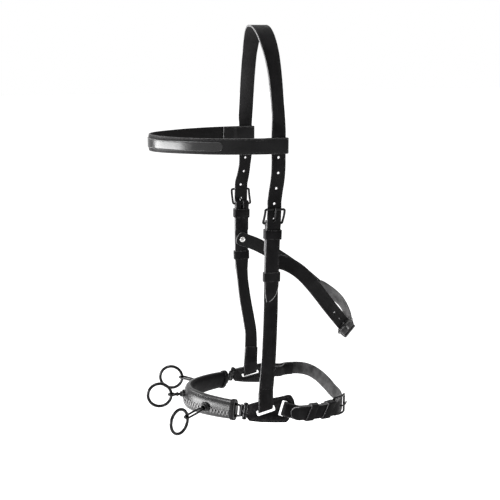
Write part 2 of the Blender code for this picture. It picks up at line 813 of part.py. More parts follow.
def rivet_frame(side):
    """Frame of a throat-strap rivet: z points outward through the cheekpiece."""
    place = Vector((side * CHEEK_X, RIVET_Y, RIVET_Z))
    return Matrix.Translation(place) @ Matrix.Rotation(math.radians(90 * side), 4, "Y")


def build_browband():
    """Browband with a turned loop at each end and a raised front panel."""
    end = BROW.length
    inner = -2 * BROW_LOOP
    butt = -BROW_LEATHER - GAP
    h = BROW_HEIGHT
    leg = BILLET_WIDTH + 1.6
    start = blend([(leg + 22.0, butt, h), (leg + 8.0, butt, h), (leg + 1.2, inner, h), (0.0, inner, h)])
    turn = [(s, lift - BROW_LOOP, w) for s, lift, w in fold(0.0, BROW_LOOP, h, -90, -180)]
    widths = ((0.0, h), (0.3, h), (0.5, h + BROW_SWELL), (0.7, h), (1.0, h))
    front = blend([(end * share, 0.0, width) for share, width in widths], 8.0)
    back = [(end - s, lift, w) for s, lift, w in start]
    far_turn = [(end - s, lift, w) for s, lift, w in turn]
    marks = start[:-1] + turn + front[1:-1] + list(reversed(far_turn)) + list(reversed(back[:-1]))
    publish("browband", sweep(lay(BROW, marks), thick=BROW_LEATHER), "leather", BROW_PIVOT)
    lift = BROW_LEATHER / 2 + 0.15
    reach = 96.0
    panel = []
    for k in range(31):
        t = k / 15 - 1
        s = end / 2 + reach * t
        tip = min(1.0, (1 - abs(t)) / 0.06 + 0.25)
        panel.append((s, lift, PANEL_HEIGHT * tip))
    publish("browband_panel", sweep(lay(BROW, panel), panel_section, PANEL_DEPTH), "patent", BROW_PIVOT)


def panel_section(width, thick):
    """Raised panel section: flat behind, crowned in front."""
    w = width / 2
    shape = [(-w, 0.0), (w, 0.0), (w, -0.35 * thick), (w * 0.8, -0.75 * thick), (w * 0.4, -0.96 * thick)]
    shape += [(-w * 0.4, -0.96 * thick), (-w * 0.8, -0.75 * thick), (-w, -0.35 * thick)]
    return shape


def build_throat():
    """Throat strap in two halves, buckled low at the back."""
    bar = THROAT_BAR
    end = THROAT.length
    w = THROAT_WIDTH
    pivot = Vector((0.0, RIVET_Y, RIVET_Z))
    marks = billet(bar, [(-THROAT_END, 0.0, w), (20.0, 0.0, w), (bar - 70.0, 0.0, w)], bar + 58.0, w)
    marks = list(reversed(pointed(list(reversed(marks)), 6.0)))
    near = publish("throat_strap_near", sweep(lay(THROAT, marks)), "leather", pivot)
    cutters = [tongue_hole(THROAT, bar, OVER_BAR), turned(rivet_frame(1), [(2.3, -6.0), (2.3, 4.0)])]
    for count in range(3):
        s = bar - 7.0 - 13.5 * (count + 1)
        lift = [m for m in marks if m[0] <= s][-1][1]
        cutters.append(punch(THROAT, s, lift, 3.0))
    cut(near, cutters)
    tail = [(bar + 60.0, PLY, w), (end - 60.0, 0.0, w), (end, 0.0, w)]
    stations = chape(THROAT, bar, 34.0, w, tail)[:-1]
    stations += lay(THROAT, pointed([(end, 0.0, w), (end + THROAT_END, 0.0, w)], 6.0))
    far = publish("throat_strap_far", sweep(stations), "leather", pivot)
    cut(far, [tongue_slot(THROAT, bar), turned(rivet_frame(-1), [(2.3, -6.0), (2.3, 4.0)])])
    smooth(publish("throat_buckle_frame", buckle_frame(THROAT, bar), "blacked_metal", pivot))
    smooth(publish("throat_buckle_tongue", tongue(THROAT, bar), "blacked_metal", THROAT.at(bar)[0]))
    low = STACK_LOW - SLACK
    high = STACK_HIGH + SLACK
    keeper = hoop(THROAT, bar + KEEPER_DROP, w / 2 + SLACK, low, high, KEEPER_HEIGHT - 2)
    publish("throat_keeper", keeper, "leather", pivot)


def chamfered(half, deep, corner):
    """Slot outline from its straight edge: half its length each way, and its depth."""
    near = [(-half, corner), (-half + corner, 0.0), (half - corner, 0.0), (half, corner)]
    return near + [(x, deep - y) for x, y in reversed(near)]


def plate_shape(side):
    """Side plate outline and its two slots, drawn in (y, z) of the noseband frame."""
    outline = [(-28, -9.0), (-26, -9.6), (-24, -13.4), (-10, -16.5), (8, -18.3), (26, -19.3)]
    outline += [(29.5, -16.8), (39, 4.5), (37.5, 12), (34, 17.6), (30, 18.4), (20, 16.5)]
    outline += [(0, 13.6), (-14, 10.5), (-22, 8.6), (-28, 7.2)]
    outline += [(-28, 2.9), (-26.2, 2.9), (-26.2, -4.9), (-28, -4.9)]
    rake = math.tan(math.radians(HINGE_RAKE))
    outline = [(y + (z + 1) * rake if y < -25 else y, z) for y, z in outline]
    tilt = math.radians(SLOT_TILT)
    along = Vector((math.cos(tilt), math.sin(tilt)))
    down = Vector((math.sin(tilt), -math.cos(tilt)))
    middle = Vector((0.2, SLOT_TOP))
    cheek = [middle + along * x + down * y for x, y in chamfered(SLOT_LENGTH / 2, SLOT_HEIGHT, 1.5)]
    lean = math.radians(CHIN_SLOT_TILT[side])
    up = Vector((math.sin(lean), math.cos(lean)))
    back = Vector((-math.cos(lean), math.sin(lean)))
    edge = Vector((CHIN_EDGE, -1.0))
    tall = CHIN_WIDTH / 2 + 1.2
    chin = [edge + up * x + back * y for x, y in chamfered(tall, CHIN_SLOT, 1.2)]
    return [outline, cheek, chin]


def sheet(name, loops, thick):
    """Flat plate from 2D outlines: the first is the edge, the others are openings."""
    curve = bpy.data.curves.new(name, "CURVE")
    curve.dimensions = "2D"
    curve.fill_mode = "BOTH"
    curve.extrude = thick / 2
    for loop in loops:
        path = curve.splines.new("POLY")
        path.points.add(len(loop) - 1)
        for spot, place in zip(path.points, loop):
            spot.co = (place[0], place[1], 0.0, 1.0)
        path.use_cyclic_u = True
    carrier = bpy.data.objects.new(name, curve)
    CUTTERS.objects.link(carrier)
    bpy.context.view_layer.update()
    shape = carrier.evaluated_get(bpy.context.evaluated_depsgraph_get())
    mesh = bpy.data.meshes.new_from_object(shape)
    bpy.data.objects.remove(carrier, do_unlink=True)
    bpy.data.curves.remove(curve)
    bm = bmesh.new()
    bm.from_mesh(mesh)
    bpy.data.meshes.remove(mesh)
    bmesh.ops.remove_doubles(bm, verts=bm.verts, dist=0.0001)
    return mesh_of(bm)


def hinge_frame(side):
    """Frame of the upright hinge pin between nosepiece and side plate."""
    lean = Matrix.Rotation(math.radians(-HINGE_RAKE), 4, "X")
    return plate_frame(side) @ Matrix.Translation((-0.5 * side, HINGE_Y, -1.0)) @ lean


def build_side_plates():
    """Flat side plates with hinge knuckles at the front."""
    turn = Matrix(((0, 0, 1, 0), (1, 0, 0, 0), (0, 1, 0, 0), (0, 0, 0, 1)))
    for name, side in SIDES:
        mesh = sheet("plate", plate_shape(side), PLATE_THICK)
        mesh.transform(plate_frame(side) @ turn)
        obj = publish("side_plate_" + name, mesh, "leather")
        pin = hinge_frame(side)
        low = KNUCKLE_HALF + GAP
        join(obj, [turned(pin, [(KNUCKLE, z), (KNUCKLE, z + 5.0)]) for z in (low, -low - 5.0)])
        cut(obj, [turned(pin, [(PIN / 2 + GAP, -20), (PIN / 2 + GAP, 20)])])
        smooth(publish("hinge_pin_" + name, turned(pin, [
            (1.2, -11.6), (2.7, -10.8), (2.7, -9.6), (PIN / 2, -9.0),
            (PIN / 2, 9.0), (2.7, 9.6), (2.7, 10.8), (1.2, 11.6)]), "blacked_metal"))


def nose_section(width, thick):
    """Padded nosepiece section, fuller outside than inside."""
    w = width / 2
    t = thick / 2
    shape = []
    for k in range(16):
        angle = math.tau * k / 16
        x = math.copysign(abs(math.cos(angle)) ** 0.8, math.cos(angle)) * w
        y = math.copysign(abs(math.sin(angle)) ** 0.8, math.sin(angle)) * t
        shape.append((x, y))
    return shape


def bore_section(width, thick):
    """Flat channel section with the same number of points as the padded section."""
    w = width / 2
    t = thick / 2
    shape = []
    for k in range(16):
        angle = math.tau * k / 16
        scale = 1 / max(abs(math.cos(angle)), abs(math.sin(angle)))
        shape.append((math.cos(angle) * scale * w, math.sin(angle) * scale * t))
    return shape


def build_nosepiece():
    """Padded nosepiece over a steel nose plate, with capped ends."""
    end = NOSE.length
    marks = []
    for k in range(25):
        bulge = 1 - abs(k / 12 - 1) ** 1.5
        marks.append((end * k / 24, 0.0, NOSE_HEIGHT + NOSE_SWELL * bulge))
    cover = tube(lay(NOSE, marks), nose_section, NOSE_DEPTH, bore_section,
                 CORE_HEIGHT + 2 * GAP, CORE_DEPTH + 2 * GAP)
    obj = smooth(publish("nosepiece_cover", cover, "leather"))
    cut(obj, [turned(stud_frame(name), [
        (3.3, -NOSE_DEPTH / 2), (3.3, SEAT), (7.2, SEAT), (7.2, 8.0)]) for name in STUDS])
    marks = [(end * k / 24, 0.0, CORE_HEIGHT) for k in range(25)]
    marks = [(-9.0, 0.0, CORE_HEIGHT - 3)] + marks + [(end + 9.0, 0.0, CORE_HEIGHT - 3)]
    core = publish("nose_plate", sweep(lay(NOSE, marks), strap_section, CORE_DEPTH), "blacked_metal")
    tall = KNUCKLE_HALF + 1.0
    knuckles = [turned(hinge_frame(side), [(KNUCKLE, -tall), (KNUCKLE, tall)]) for name, side in SIDES]
    join(core, knuckles)
    trims = []
    for name, side in SIDES:
        pin = hinge_frame(side)
        trims.append(turned(pin, [(PIN / 2 + GAP, -20), (PIN / 2 + GAP, 20)]))
        trims.append(block(pin, -6, 6, -KNUCKLE - 0.4, 14, KNUCKLE_HALF, 20))
        trims.append(block(pin, -6, 6, -KNUCKLE - 0.4, 14, -20, -KNUCKLE_HALF))
    cut(core, trims)
    for name, spot in (("near", CAP_LENGTH / 2 - 0.5), ("far", end - CAP_LENGTH / 2 + 0.5)):
        marks = [(spot + way * CAP_LENGTH / 2, 0.0, NOSE_HEIGHT + 2 * CAP_WALL) for way in (-1, 1)]
        mesh = tube(lay(NOSE, marks), nose_section, NOSE_DEPTH + 2 * CAP_WALL, nose_section,
                    NOSE_HEIGHT + 2 * GAP, NOSE_DEPTH + 2 * GAP)
        smooth(publish("nose_end_cap_" + name, mesh, "leather"))


def stud_frame(name):
    """Frame on the nosepiece's outer face; z points along the stud, y is up."""
    side = {"near": -1, "centre": 0, "far": 1}[name]
    place, run, across, out = NOSE.at(NOSE.length / 2 + side * STUD_SPREAD)
    up = (NOSEBAND.to_3x3() @ UP).normalized()
    out = (out - up * out.dot(up)).normalized()
    place = place + out * (NOSE_DEPTH / 2) - up * STUD_DROP[name]
    x = up.cross(out)
    droop, yaw = STUD_DROOP[name]
    level = Matrix((
        (x.x, up.x, out.x, place.x),
        (x.y, up.y, out.y, place.y),
        (x.z, up.z, out.z, place.z),
        (0.0, 0.0, 0.0, 1.0),
    ))
    lean = Matrix.Rotation(math.radians(yaw), 4, "Y") @ Matrix.Rotation(math.radians(droop), 4, "X")
    return level @ lean


def build_rings():
    """Three swivelling rings on studs through the nosepiece."""
    deep = -(NOSE_DEPTH / 2 - CORE_DEPTH / 2 - GAP) + 0.9
    for name in STUDS:
        frame = stud_frame(name)
        bore = 2.4 if name == "centre" else 3.6
        rim = 3.6 if name == "centre" else 4.8
        smooth(publish("ring_stud_" + name, turned(frame, [
            (3.0, deep), (3.0, SEAT + GAP), (6.6, SEAT + GAP), (6.6, 1.4), (rim + 0.4, 3.6), (rim, 5.2),
            (bore, 5.2), (bore, 1.2)]), "blacked_metal"))
        if name == "centre":
            eye = 16.6
            mesh = turned(frame, [
                (1.9, 1.5), (1.9, 7.4), (2.9, 9.0), (2.9, 10.2), (2.1, 11.2), (2.1, eye - EYE_RADIUS)])
            obj = smooth(publish("ring_swivel_" + name, mesh, "blacked_metal", frame.translation))
            circle = [(EYE_RADIUS * math.cos(a), eye + EYE_RADIUS * math.sin(a)) for a in (
                math.tau * (k + 0.5) / 16 for k in range(16))]
            join(obj, [wire([frame @ Vector((x, 0, z)) for x, z in circle], 3.0, True)])
            eye += RING_PULL
        else:
            eye = LINK_LENGTH
            arm = RING_WIRE / 2 + 0.4 + 1.5
            points = [(-1.65, 1.5), (-1.65, 6.0), (-2.6, 11.0), (-arm, 20.0)]
            for k in range(9):
                angle = math.radians(180 - 180 * k / 8)
                points.append((arm * math.cos(angle), eye + arm * math.sin(angle)))
            points += [(arm, 20.0), (2.6, 11.0), (1.65, 6.0), (1.65, 1.5)]
            mesh = wire([frame @ Vector((x, 0, z)) for x, z in points], 3.0, False, 3)
            smooth(publish("ring_swivel_" + name, mesh, "blacked_metal", frame.translation))
        hub = frame @ Vector((0, 0, eye))
        turn = frame.to_3x3() @ Matrix.Rotation(math.radians(RING_TURN[name]), 3, "Y")
        around = turn @ Vector((1, 0, 0))
        out = turn @ Vector((0, 0, 1))
        up = turn @ Vector((0, 1, 0))
        middle = hub + out * RING_RADIUS
        bpy.ops.mesh.primitive_torus_add(
            major_radius=RING_RADIUS, minor_radius=RING_WIRE / 2, major_segments=28, minor_segments=8)
        ring = bpy.context.object
        mesh = ring.data
        bpy.data.objects.remove(ring, do_unlink=True)
        mesh.transform(Matrix((
            (out.x, up.x, -around.x, middle.x),
            (out.y, up.y, -around.y, middle.y),
            (out.z, up.z, -around.z, middle.z),
            (0.0, 0.0, 0.0, 1.0))))
        smooth(publish("ring_" + name, mesh, "blacked_metal", hub))


def build_chin():
    """Chin strap: a long far half buckled over a short near half."""
    bar = CHIN_BAR
    end = CHIN.length
    w = CHIN_WIDTH
    # far half: turned back through the far plate's rear slot
    marks = [(40.0, -PLY, w), (27.0, -PLY, w), (16.0, -PLATE_FOLD, w), (0.0, -PLATE_FOLD, w)]
    start = blend(marks)[:-1] + fold(0.0, PLATE_FOLD, w, -90, -180)
    outside = [(0.0, PLATE_FOLD, w), (16.0, PLATE_FOLD, w), (27.0, PLY, w), (bar - 70.0, PLY, w)]
    body = billet(bar, outside, end - 27.0, w)
    far = publish("chin_strap_far", sweep(lay(CHIN, start + body[1:])), "leather")
    cutters = [tongue_hole(CHIN, bar, OVER_BAR)]
    for count in (-1, 1, 2):
        s = bar - 7.0 - 16.0 * count
        cutters.append(punch(CHIN, s, OVER_PLY if count < 0 else 4.5, 3.2))
    cut(far, cutters)
    # near half: turned round the buckle bar and through the near plate's rear slot
    lower = [(end - 24.0, PLY, w), (end - 15.0, PLATE_FOLD, w), (end, PLATE_FOLD, w)]
    stations = chape(CHIN, bar, 22.0, w, lower)
    stations += lay(CHIN, fold(end, PLATE_FOLD, w, 90, -180)[1:])
    inside = [(end - 15.0, -PLATE_FOLD, w), (end - 24.0, -PLY, w), (end - 36.0, -PLY, w)]
    stations += lay(CHIN, blend(inside))
    near = publish("chin_strap_near", sweep(stations), "leather")
    cut(near, [tongue_slot(CHIN, bar)])
    frame = buckle_frame(CHIN, bar, FRAME_RISE, FRAME_WIDTH - 1)
    smooth(publish("chin_buckle_frame", frame, "blacked_metal"))
    smooth(publish("chin_buckle_tongue", tongue(CHIN, bar), "blacked_metal", CHIN.at(bar)[0]))
    slide = bar + CHIN_RUNNER
    half = w / 2 + SLACK
    tall = KEEPER_HEIGHT - 1
    fixed = hoop(CHIN, bar + KEEPER_DROP, half, STACK_LOW - SLACK, STACK_HIGH + SLACK, tall)
    runner = hoop(CHIN, slide, half, STACK_LOW, STACK_HIGH, tall)
    publish("chin_fixed_keeper", fixed, "leather")
    publish("chin_runner", runner, "leather", CHIN.at(slide)[0])


build_headpiece()
build_cheeks()
build_browband()
build_throat()
build_side_plates()
build_nosepiece()
build_rings()
build_chin()
bpy.context.view_layer.update()
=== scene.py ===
"""Riding bridle: leather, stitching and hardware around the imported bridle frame.

Shapes are drawn in millimetres and turned into metres when a mesh is finished.
+X is the horse's near side, -Y is forward, +Z is up, and the origin is at the poll.
"""
import logging
from dataclasses import dataclass
from enum import Enum
from math import acos, atan2, ceil, copysign, cos, exp, hypot, pi, radians, sin, sqrt, tan, tau
from typing import Callable, Iterable, Sequence, TypeVar

import bmesh
import bpy
from bmesh import ops
from mathutils import Matrix, Vector


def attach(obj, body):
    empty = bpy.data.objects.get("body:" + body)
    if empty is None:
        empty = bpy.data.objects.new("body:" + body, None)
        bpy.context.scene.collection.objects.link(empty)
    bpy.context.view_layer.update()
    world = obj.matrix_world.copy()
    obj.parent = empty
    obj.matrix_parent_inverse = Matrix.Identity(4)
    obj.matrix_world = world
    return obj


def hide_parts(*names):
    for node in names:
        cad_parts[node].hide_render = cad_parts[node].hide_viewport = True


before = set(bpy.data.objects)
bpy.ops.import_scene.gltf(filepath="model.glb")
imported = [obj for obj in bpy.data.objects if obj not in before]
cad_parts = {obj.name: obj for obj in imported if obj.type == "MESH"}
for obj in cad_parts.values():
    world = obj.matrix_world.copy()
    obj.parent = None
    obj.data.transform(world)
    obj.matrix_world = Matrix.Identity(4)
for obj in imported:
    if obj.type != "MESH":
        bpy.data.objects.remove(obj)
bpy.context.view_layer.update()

Socket = bpy.types.NodeSocket
Shape = bmesh.types.BMesh
Material = bpy.types.Material
Pair = tuple[float, float]
Triple = tuple[float, float, float]
Option = TypeVar("Option")

LOG = logging.getLogger("riding_bridle")
MM = 0.001
UP = Vector((0.0, 0.0, 1.0))


class Labelled(Enum):
    """Named options that end the names of their pieces."""

    @property
    def label(self) -> str:
        """Ending of the names of this option's pieces."""
        return self.name.lower()


class Side(Labelled):
    """The two sides of the horse's head."""

    NEAR = 1
    FAR = -1

    def pick(self, near: Option, far: Option) -> Option:
        """Choose the value of this side."""
        return near if self is Side.NEAR else far


class Skin(Enum):
    """Which surface of a strap a face belongs to; the value is its material index."""

    GRAIN = 0
    EDGE = 1
    FLESH = 2


class Stud(Labelled):
    """The three ring studs, with their steps along the nosepiece."""

    NEAR = -1
    CENTRE = 0
    FAR = 1


def shift(x: float, y: float, z: float) -> Matrix:
    """Matrix of a shift."""
    return Matrix.Translation(Vector((x, y, z)))


def turned(degrees: float, axis: str) -> Matrix:
    """Matrix of a turn round an axis."""
    return Matrix.Rotation(radians(degrees), 4, axis)


def axes(x: Vector, y: Vector, z: Vector, place: Vector) -> Matrix:
    """Matrix of a frame from its three directions and its place."""
    return Matrix(((*x, 0.0), (*y, 0.0), (*z, 0.0), (*place, 1.0))).transposed()


# ---- finishes


class Graph:
    """A new material's node tree, with short calls to add and join nodes."""

    def __init__(self, name: str) -> None:
        """Start from a bare Principled surface.

        Args:
            name: the material's name.
        """
        self.material = bpy.data.materials.new(name)
        self.material.use_nodes = True
        self.tree = self.material.node_tree
        self.shader = self.tree.nodes["Principled BSDF"]
        self.place = self.node("TexCoord", "Object")

    def feed(self, socket: Socket, value: Socket | Triple | float) -> None:
        """Join a socket to another one, or set it to a colour or a number."""
        if isinstance(value, Socket):
            self.tree.links.new(value, socket)
        else:
            socket.default_value = (*value, 1.0) if isinstance(value, tuple) else value

    def fill(self, node: bpy.types.Node, **values: Socket | float) -> None:
        """Join or set inputs of a node; an underscore stands for a space."""
        for name, value in values.items():
            self.feed(node.inputs[name.replace("_", " ")], value)

    def node(self, kind: str, out: str, **values: Socket | float) -> Socket:
        """Add a node.

        Args:
            kind: the node's kind.
            out: the output to read.
            values: what its inputs are joined or set to.

        Returns:
            The output's socket.
        """
        node = self.tree.nodes.new("ShaderNode" + kind)
        self.fill(node, **values)
        return node.outputs[out]

    def noise(self, scale: float, detail: float) -> Socket:
        """Add a noise pattern of so many repeats per metre and octaves."""
        return self.node("TexNoise", "Fac", Scale=scale, Detail=detail, Vector=self.place)

    def cells(self, scale: float) -> Socket:
        """Add a pattern of so many cells per metre, read as the distance to their edges."""
        pattern = self.node("TexVoronoi", "Distance", Scale=scale, Vector=self.place)
        pattern.node.feature = "DISTANCE_TO_EDGE"
        return pattern

    def span(self, factor: Socket, low: float, high: float, start: float = 0.0, stop: float = 1.0) -> Socket:
        """Stretch a factor onto a new range.

        Args:
            factor: the socket to read.
            low: the value at start.
            high: the value at stop.
            start: where the range begins.
            stop: where the range ends.

        Returns:
            The stretched value's socket.
        """
        return self.node("MapRange", "Result", From_Min=start, From_Max=stop, To_Min=low, To_Max=high, Value=factor)

    def mix(self, factor: Socket, one: Socket | Triple, two: Socket | Triple) -> Socket:
        """Mix two colours.

        Args:
            factor: how much of the second shows.
            one: the first colour.
            two: the second colour.

        Returns:
            The mixed colour's socket.
        """
        node = self.node("Mix", "Result", Factor=factor).node
        node.data_type = "RGBA"
        for socket, value in zip((s for s in node.inputs if s.type == "RGBA"), (one, two)):
            self.feed(socket, value)
        return next(s for s in node.outputs if s.type == "RGBA")

    def height(self) -> Socket:
        """Read the height in the shared frame, in metres."""
        return self.node("SeparateXYZ", "Z", Vector=self.place)

    def wear(self) -> Socket:
        """Read how worn the surface is, from the piece's own attribute."""
        worn = self.node("Attribute", "Fac")
        worn.node.attribute_name = "wear"
        return worn

    def times(self, one: Socket, two: Socket) -> Socket:
        """Multiply two values."""
        product = self.node("Math", "Value", Value=one)
        product.node.operation = "MULTIPLY"
        self.feed(product.node.inputs[1], two)
        return product

    def relief(self, *layers: tuple[Socket, float, float]) -> None:
        """Give the surface its bumps.

        Args:
            layers: (height socket, strength, depth in metres) from the coarsest to the finest.
        """
        below = None
        for height, strength, depth in layers:
            bump = self.node("Bump", "Normal", Strength=strength, Distance=depth, Height=height)
            if below:
                self.fill(bump.node, Normal=below)
            below = bump
        self.fill(self.shader, Normal=below)

    def surface(self, colour: Socket, rough: Socket, **constants: float) -> Material:
        """Join the surface's colour and roughness, and set what is the same all over.

        Args:
            colour: the colour's socket.
            rough: the roughness's socket.
            constants: inputs of the shader that are set on its own sockets.

        Returns:
            The material.
        """
        self.fill(self.shader, Base_Color=colour, Roughness=rough, **constants)
        return self.material


@dataclass(frozen=True)
class GrainFinish:
    """Dyed, waxed grain side of bridle leather."""

    name: str = "black_grain"
    dark: Triple = (0.0018, 0.0017, 0.0019)
    light: Triple = (0.0125, 0.0121, 0.0128)
    worn: Triple = (0.055, 0.053, 0.054)
    rough: Pair = (0.34, 0.46)
    specular: float = 0.055
    coat: float = 0.0
    cell: float = 780.0
    grain: float = 0.32
    wave: float = 0.25

    def material(self) -> Material:
        """Build the material.

        Returns:
            A procedural leather with pores, mottled dye and paler worn edges.
        """
        graph = Graph(self.name)
        pores = graph.span(graph.cells(self.cell), 0.0, 1.0, 0.0, 0.22)
        scuffs = graph.span(graph.noise(310.0, 6.0), 0.0, 1.0, 0.46, 0.72)
        dye = graph.mix(graph.span(graph.noise(42.0, 5.0), 0.0, 1.0, 0.3, 0.7), self.dark, self.light)
        lightened = graph.span(graph.times(graph.wear(), scuffs), 0.0, 0.85)
        graph.relief((graph.noise(60.0, 3.0), self.wave, 0.0012), (pores, self.grain, 0.00016),
                     (graph.noise(2400.0, 3.0), 0.12, 0.00008))
        return graph.surface(
            graph.mix(lightened, dye, self.worn), graph.span(graph.noise(95.0, 6.0), *self.rough, 0.3, 0.7),
            Specular_IOR_Level=self.specular, Coat_Weight=self.coat, Coat_Roughness=0.3)


@dataclass(frozen=True)
class FibreFinish:
    """Fibrous, matt surface: the paler cut edge of the leather, or waxed linen thread."""

    name: str = "cut_edge"
    dark: Triple = (0.032, 0.032, 0.033)
    light: Triple = (0.23, 0.227, 0.23)
    scale: float = 900.0
    detail: float = 6.0
    dye: Pair = (0.3, 0.72)
    rough: Pair = (0.55, 0.8)
    strength: float = 0.4
    depth: float = 0.00012
    specular: float = 0.25

    def material(self) -> Material:
        """Build the material.

        Returns:
            A procedural surface of layered fibres or fine twist.
        """
        graph = Graph(self.name)
        fibre = graph.noise(self.scale, self.detail)
        graph.relief((fibre, self.strength, self.depth))
        colour = graph.mix(graph.span(fibre, 0.0, 1.0, *self.dye), self.dark, self.light)
        return graph.surface(colour, graph.span(fibre, *self.rough), Specular_IOR_Level=self.specular)


@dataclass(frozen=True)
class FleshFinish:
    """Flesh side of the leather: dyed through, mottled and slightly fuzzy."""

    name: str = "flesh_side"
    dark: Triple = (0.0055, 0.0053, 0.0056)
    light: Triple = (0.014, 0.0136, 0.014)
    sheen: float = 0.02
    rough: Pair = (0.58, 0.72)
    specular: float = 0.07
    # Heights in metres above which the colour turns to dark; a finish with them shows its lighter painted-light mottle
    # only lower down.
    fade: Pair | None = None

    def material(self) -> Material:
        """Build the material.

        Returns:
            A procedural suede-like surface; where it has fade heights it turns to its dark colour above them, so its
            lighter mottle, painted light on the throat and chin straps, shows only below them.
        """
        graph = Graph(self.name)
        blotch = graph.noise(75.0, 6.0)
        nap = graph.noise(1500.0, 4.0)
        colour = graph.mix(graph.span(blotch, 0.0, 1.0, 0.3, 0.7), self.dark, self.light)
        if self.fade:
            colour = graph.mix(graph.span(graph.height(), 0.0, 1.0, *self.fade), colour, self.dark)
        graph.relief((blotch, 0.2, 0.0006), (nap, 0.4, 0.00016))
        return graph.surface(
            graph.mix(graph.span(nap, 0.0, 0.45), colour, self.dark), graph.span(blotch, *self.rough, 0.3, 0.7),
            Specular_IOR_Level=self.specular, Sheen_Weight=self.sheen, Sheen_Roughness=0.5)


@dataclass(frozen=True)
class MetalFinish:
    """Plated or blacked metal, brushed by use."""

    name: str
    dark: Triple
    light: Triple
    rough: Pair
    coat: float = 0.0

    def material(self) -> Material:
        """Build the material.

        Returns:
            A procedural metal with fine scratches and uneven polish.
        """
        graph = Graph(self.name)
        smudge = graph.noise(130.0, 5.0)
        lightened = graph.span(graph.noise(420.0, 5.0), 0.0, 1.0, 0.5, 0.75)
        graph.relief((smudge, 0.1, 0.0004), (graph.noise(2600.0, 2.0), 0.08, 0.00004))
        return graph.surface(
            graph.mix(lightened, self.dark, self.light), graph.span(smudge, *self.rough, 0.3, 0.7),
            Metallic=1.0, Coat_Weight=self.coat, Coat_Roughness=0.1)


class Palette:
    """Every finish of the bridle, built once, and the finishes of its straps in the order of Skin."""

    def __init__(self) -> None:
        """Build the finishes."""
        self.grain = GrainFinish().material()
        self.edge = FibreFinish().material()
        # Pale rim along the shaped tips: partly a paler thinned edge, its brightness a painted highlight on the tip's
        # edge.
        self.skived_highlight = FibreFinish("skived_edge_highlight", (0.20, 0.197, 0.20), (0.50, 0.49, 0.495)).material()
        flesh = FleshFinish().material()
        # Flesh side of the throat and chin straps: its lighter mottle is painted light, standing in for the light that
        # falls on these flesh sides; above its fade heights it stays dark.
        lightened = FleshFinish(
            "painted_light_flesh_side", (0.005, 0.0049, 0.005), (0.085, 0.0834, 0.0844), rough=(0.42, 0.58),
            specular=0.12, fade=(-0.365, -0.335)).material()
        brow_grain = GrainFinish(
            "brow_grain", (0.005, 0.0049, 0.0052), (0.011, 0.0107, 0.0112), rough=(0.28, 0.36),
            specular=0.11, cell=860.0, grain=0.2, wave=0.1).material()
        self.patent = GrainFinish(
            "glossy_panel", (0.004, 0.0039, 0.0042), (0.009, 0.0088, 0.0093), rough=(0.17, 0.23),
            specular=0.42, coat=0.03, cell=950.0, grain=0.06, wave=0.04).material()
        self.padding = GrainFinish(
            "padded_grain", (0.0035, 0.0034, 0.0036), (0.009, 0.0087, 0.0092), rough=(0.21, 0.29),
            specular=0.34, coat=0.03, cell=620.0, grain=0.24).material()
        self.lining = GrainFinish(
            "lining_grain", (0.004, 0.0038, 0.0042), (0.008, 0.0077, 0.0083), rough=(0.5, 0.62),
            specular=0.05, cell=900.0, grain=0.2).material()
        # Lacing strips: their pale grey is a painted highlight standing in for the light on the strands.
        self.lace = GrainFinish(
            "lace_painted_highlight", (0.07, 0.069, 0.070), (0.24, 0.236, 0.238), rough=(0.28, 0.4),
            specular=0.5, coat=0.1, cell=1400.0, grain=0.2).material()
        self.black_metal = MetalFinish(
            "blacked_metal_finish", (0.007, 0.007, 0.0074), (0.018, 0.0177, 0.018), (0.18, 0.26), coat=0.22).material()
        # Grey metal of the throat buckle's frame: a painted glint standing in for the bright glints on its bars.
        self.painted_glint_metal = MetalFinish(
            "painted_glint_metal", (0.020, 0.0197, 0.020), (0.16, 0.157, 0.155), (0.16, 0.24), coat=0.22).material()
        self.nickel = MetalFinish("nickel_finish", (0.50, 0.49, 0.48), (0.72, 0.71, 0.70), (0.2, 0.34)).material()
        self.thread = FibreFinish(
            "waxed_thread", (0.007, 0.007, 0.0075), (0.026, 0.0255, 0.026), 3200.0, 2.0, (0.35, 0.65), (0.4, 0.6),
            0.5, 0.0001, 0.15).material()
        self.strap = [self.grain, self.edge, flesh]
        # Throat and chin straps: their flesh side carries painted light.
        self.jaw_strap = [self.grain, self.edge, lightened]
        self.brow_strap = [brow_grain, self.edge, flesh]


# ---- routes


Knot = tuple[Vector, Vector]
Mark = Triple
Station = tuple[Vector, Vector, float]


def spline(a: Vector, b: Vector, c: Vector, d: Vector, t: float) -> Vector:
    """Point of a Catmull-Rom curve at a share of the way from b to c.

    Args:
        a: point before the span.
        b: start of the span.
        c: end of the span.
        d: point after the span.
        t: share of the span.

    Returns:
        The point.
    """
    square = 2 * a - 5 * b + 4 * c - d
    cube = 3 * b - a - 3 * c + d
    return 0.5 * (2 * b + (c - a) * t + square * t * t + cube * t ** 3)


def curve(knots: Sequence[Vector], shares: Sequence[float]) -> list[Vector]:
    """Points of a smooth curve through some knots, at the same shares of every span."""
    last = len(knots) - 1
    points = []
    for i in range(last):
        span = [knots[min(max(i + step, 0), last)] for step in (-1, 0, 1, 2)]
        points += [spline(*span, share) for share in shares]
    return points


def chord(places: Sequence[Vector], i: int) -> Vector:
    """From the point before one of a path's points to the point after it."""
    return places[min(i + 1, len(places) - 1)] - places[max(i - 1, 0)]


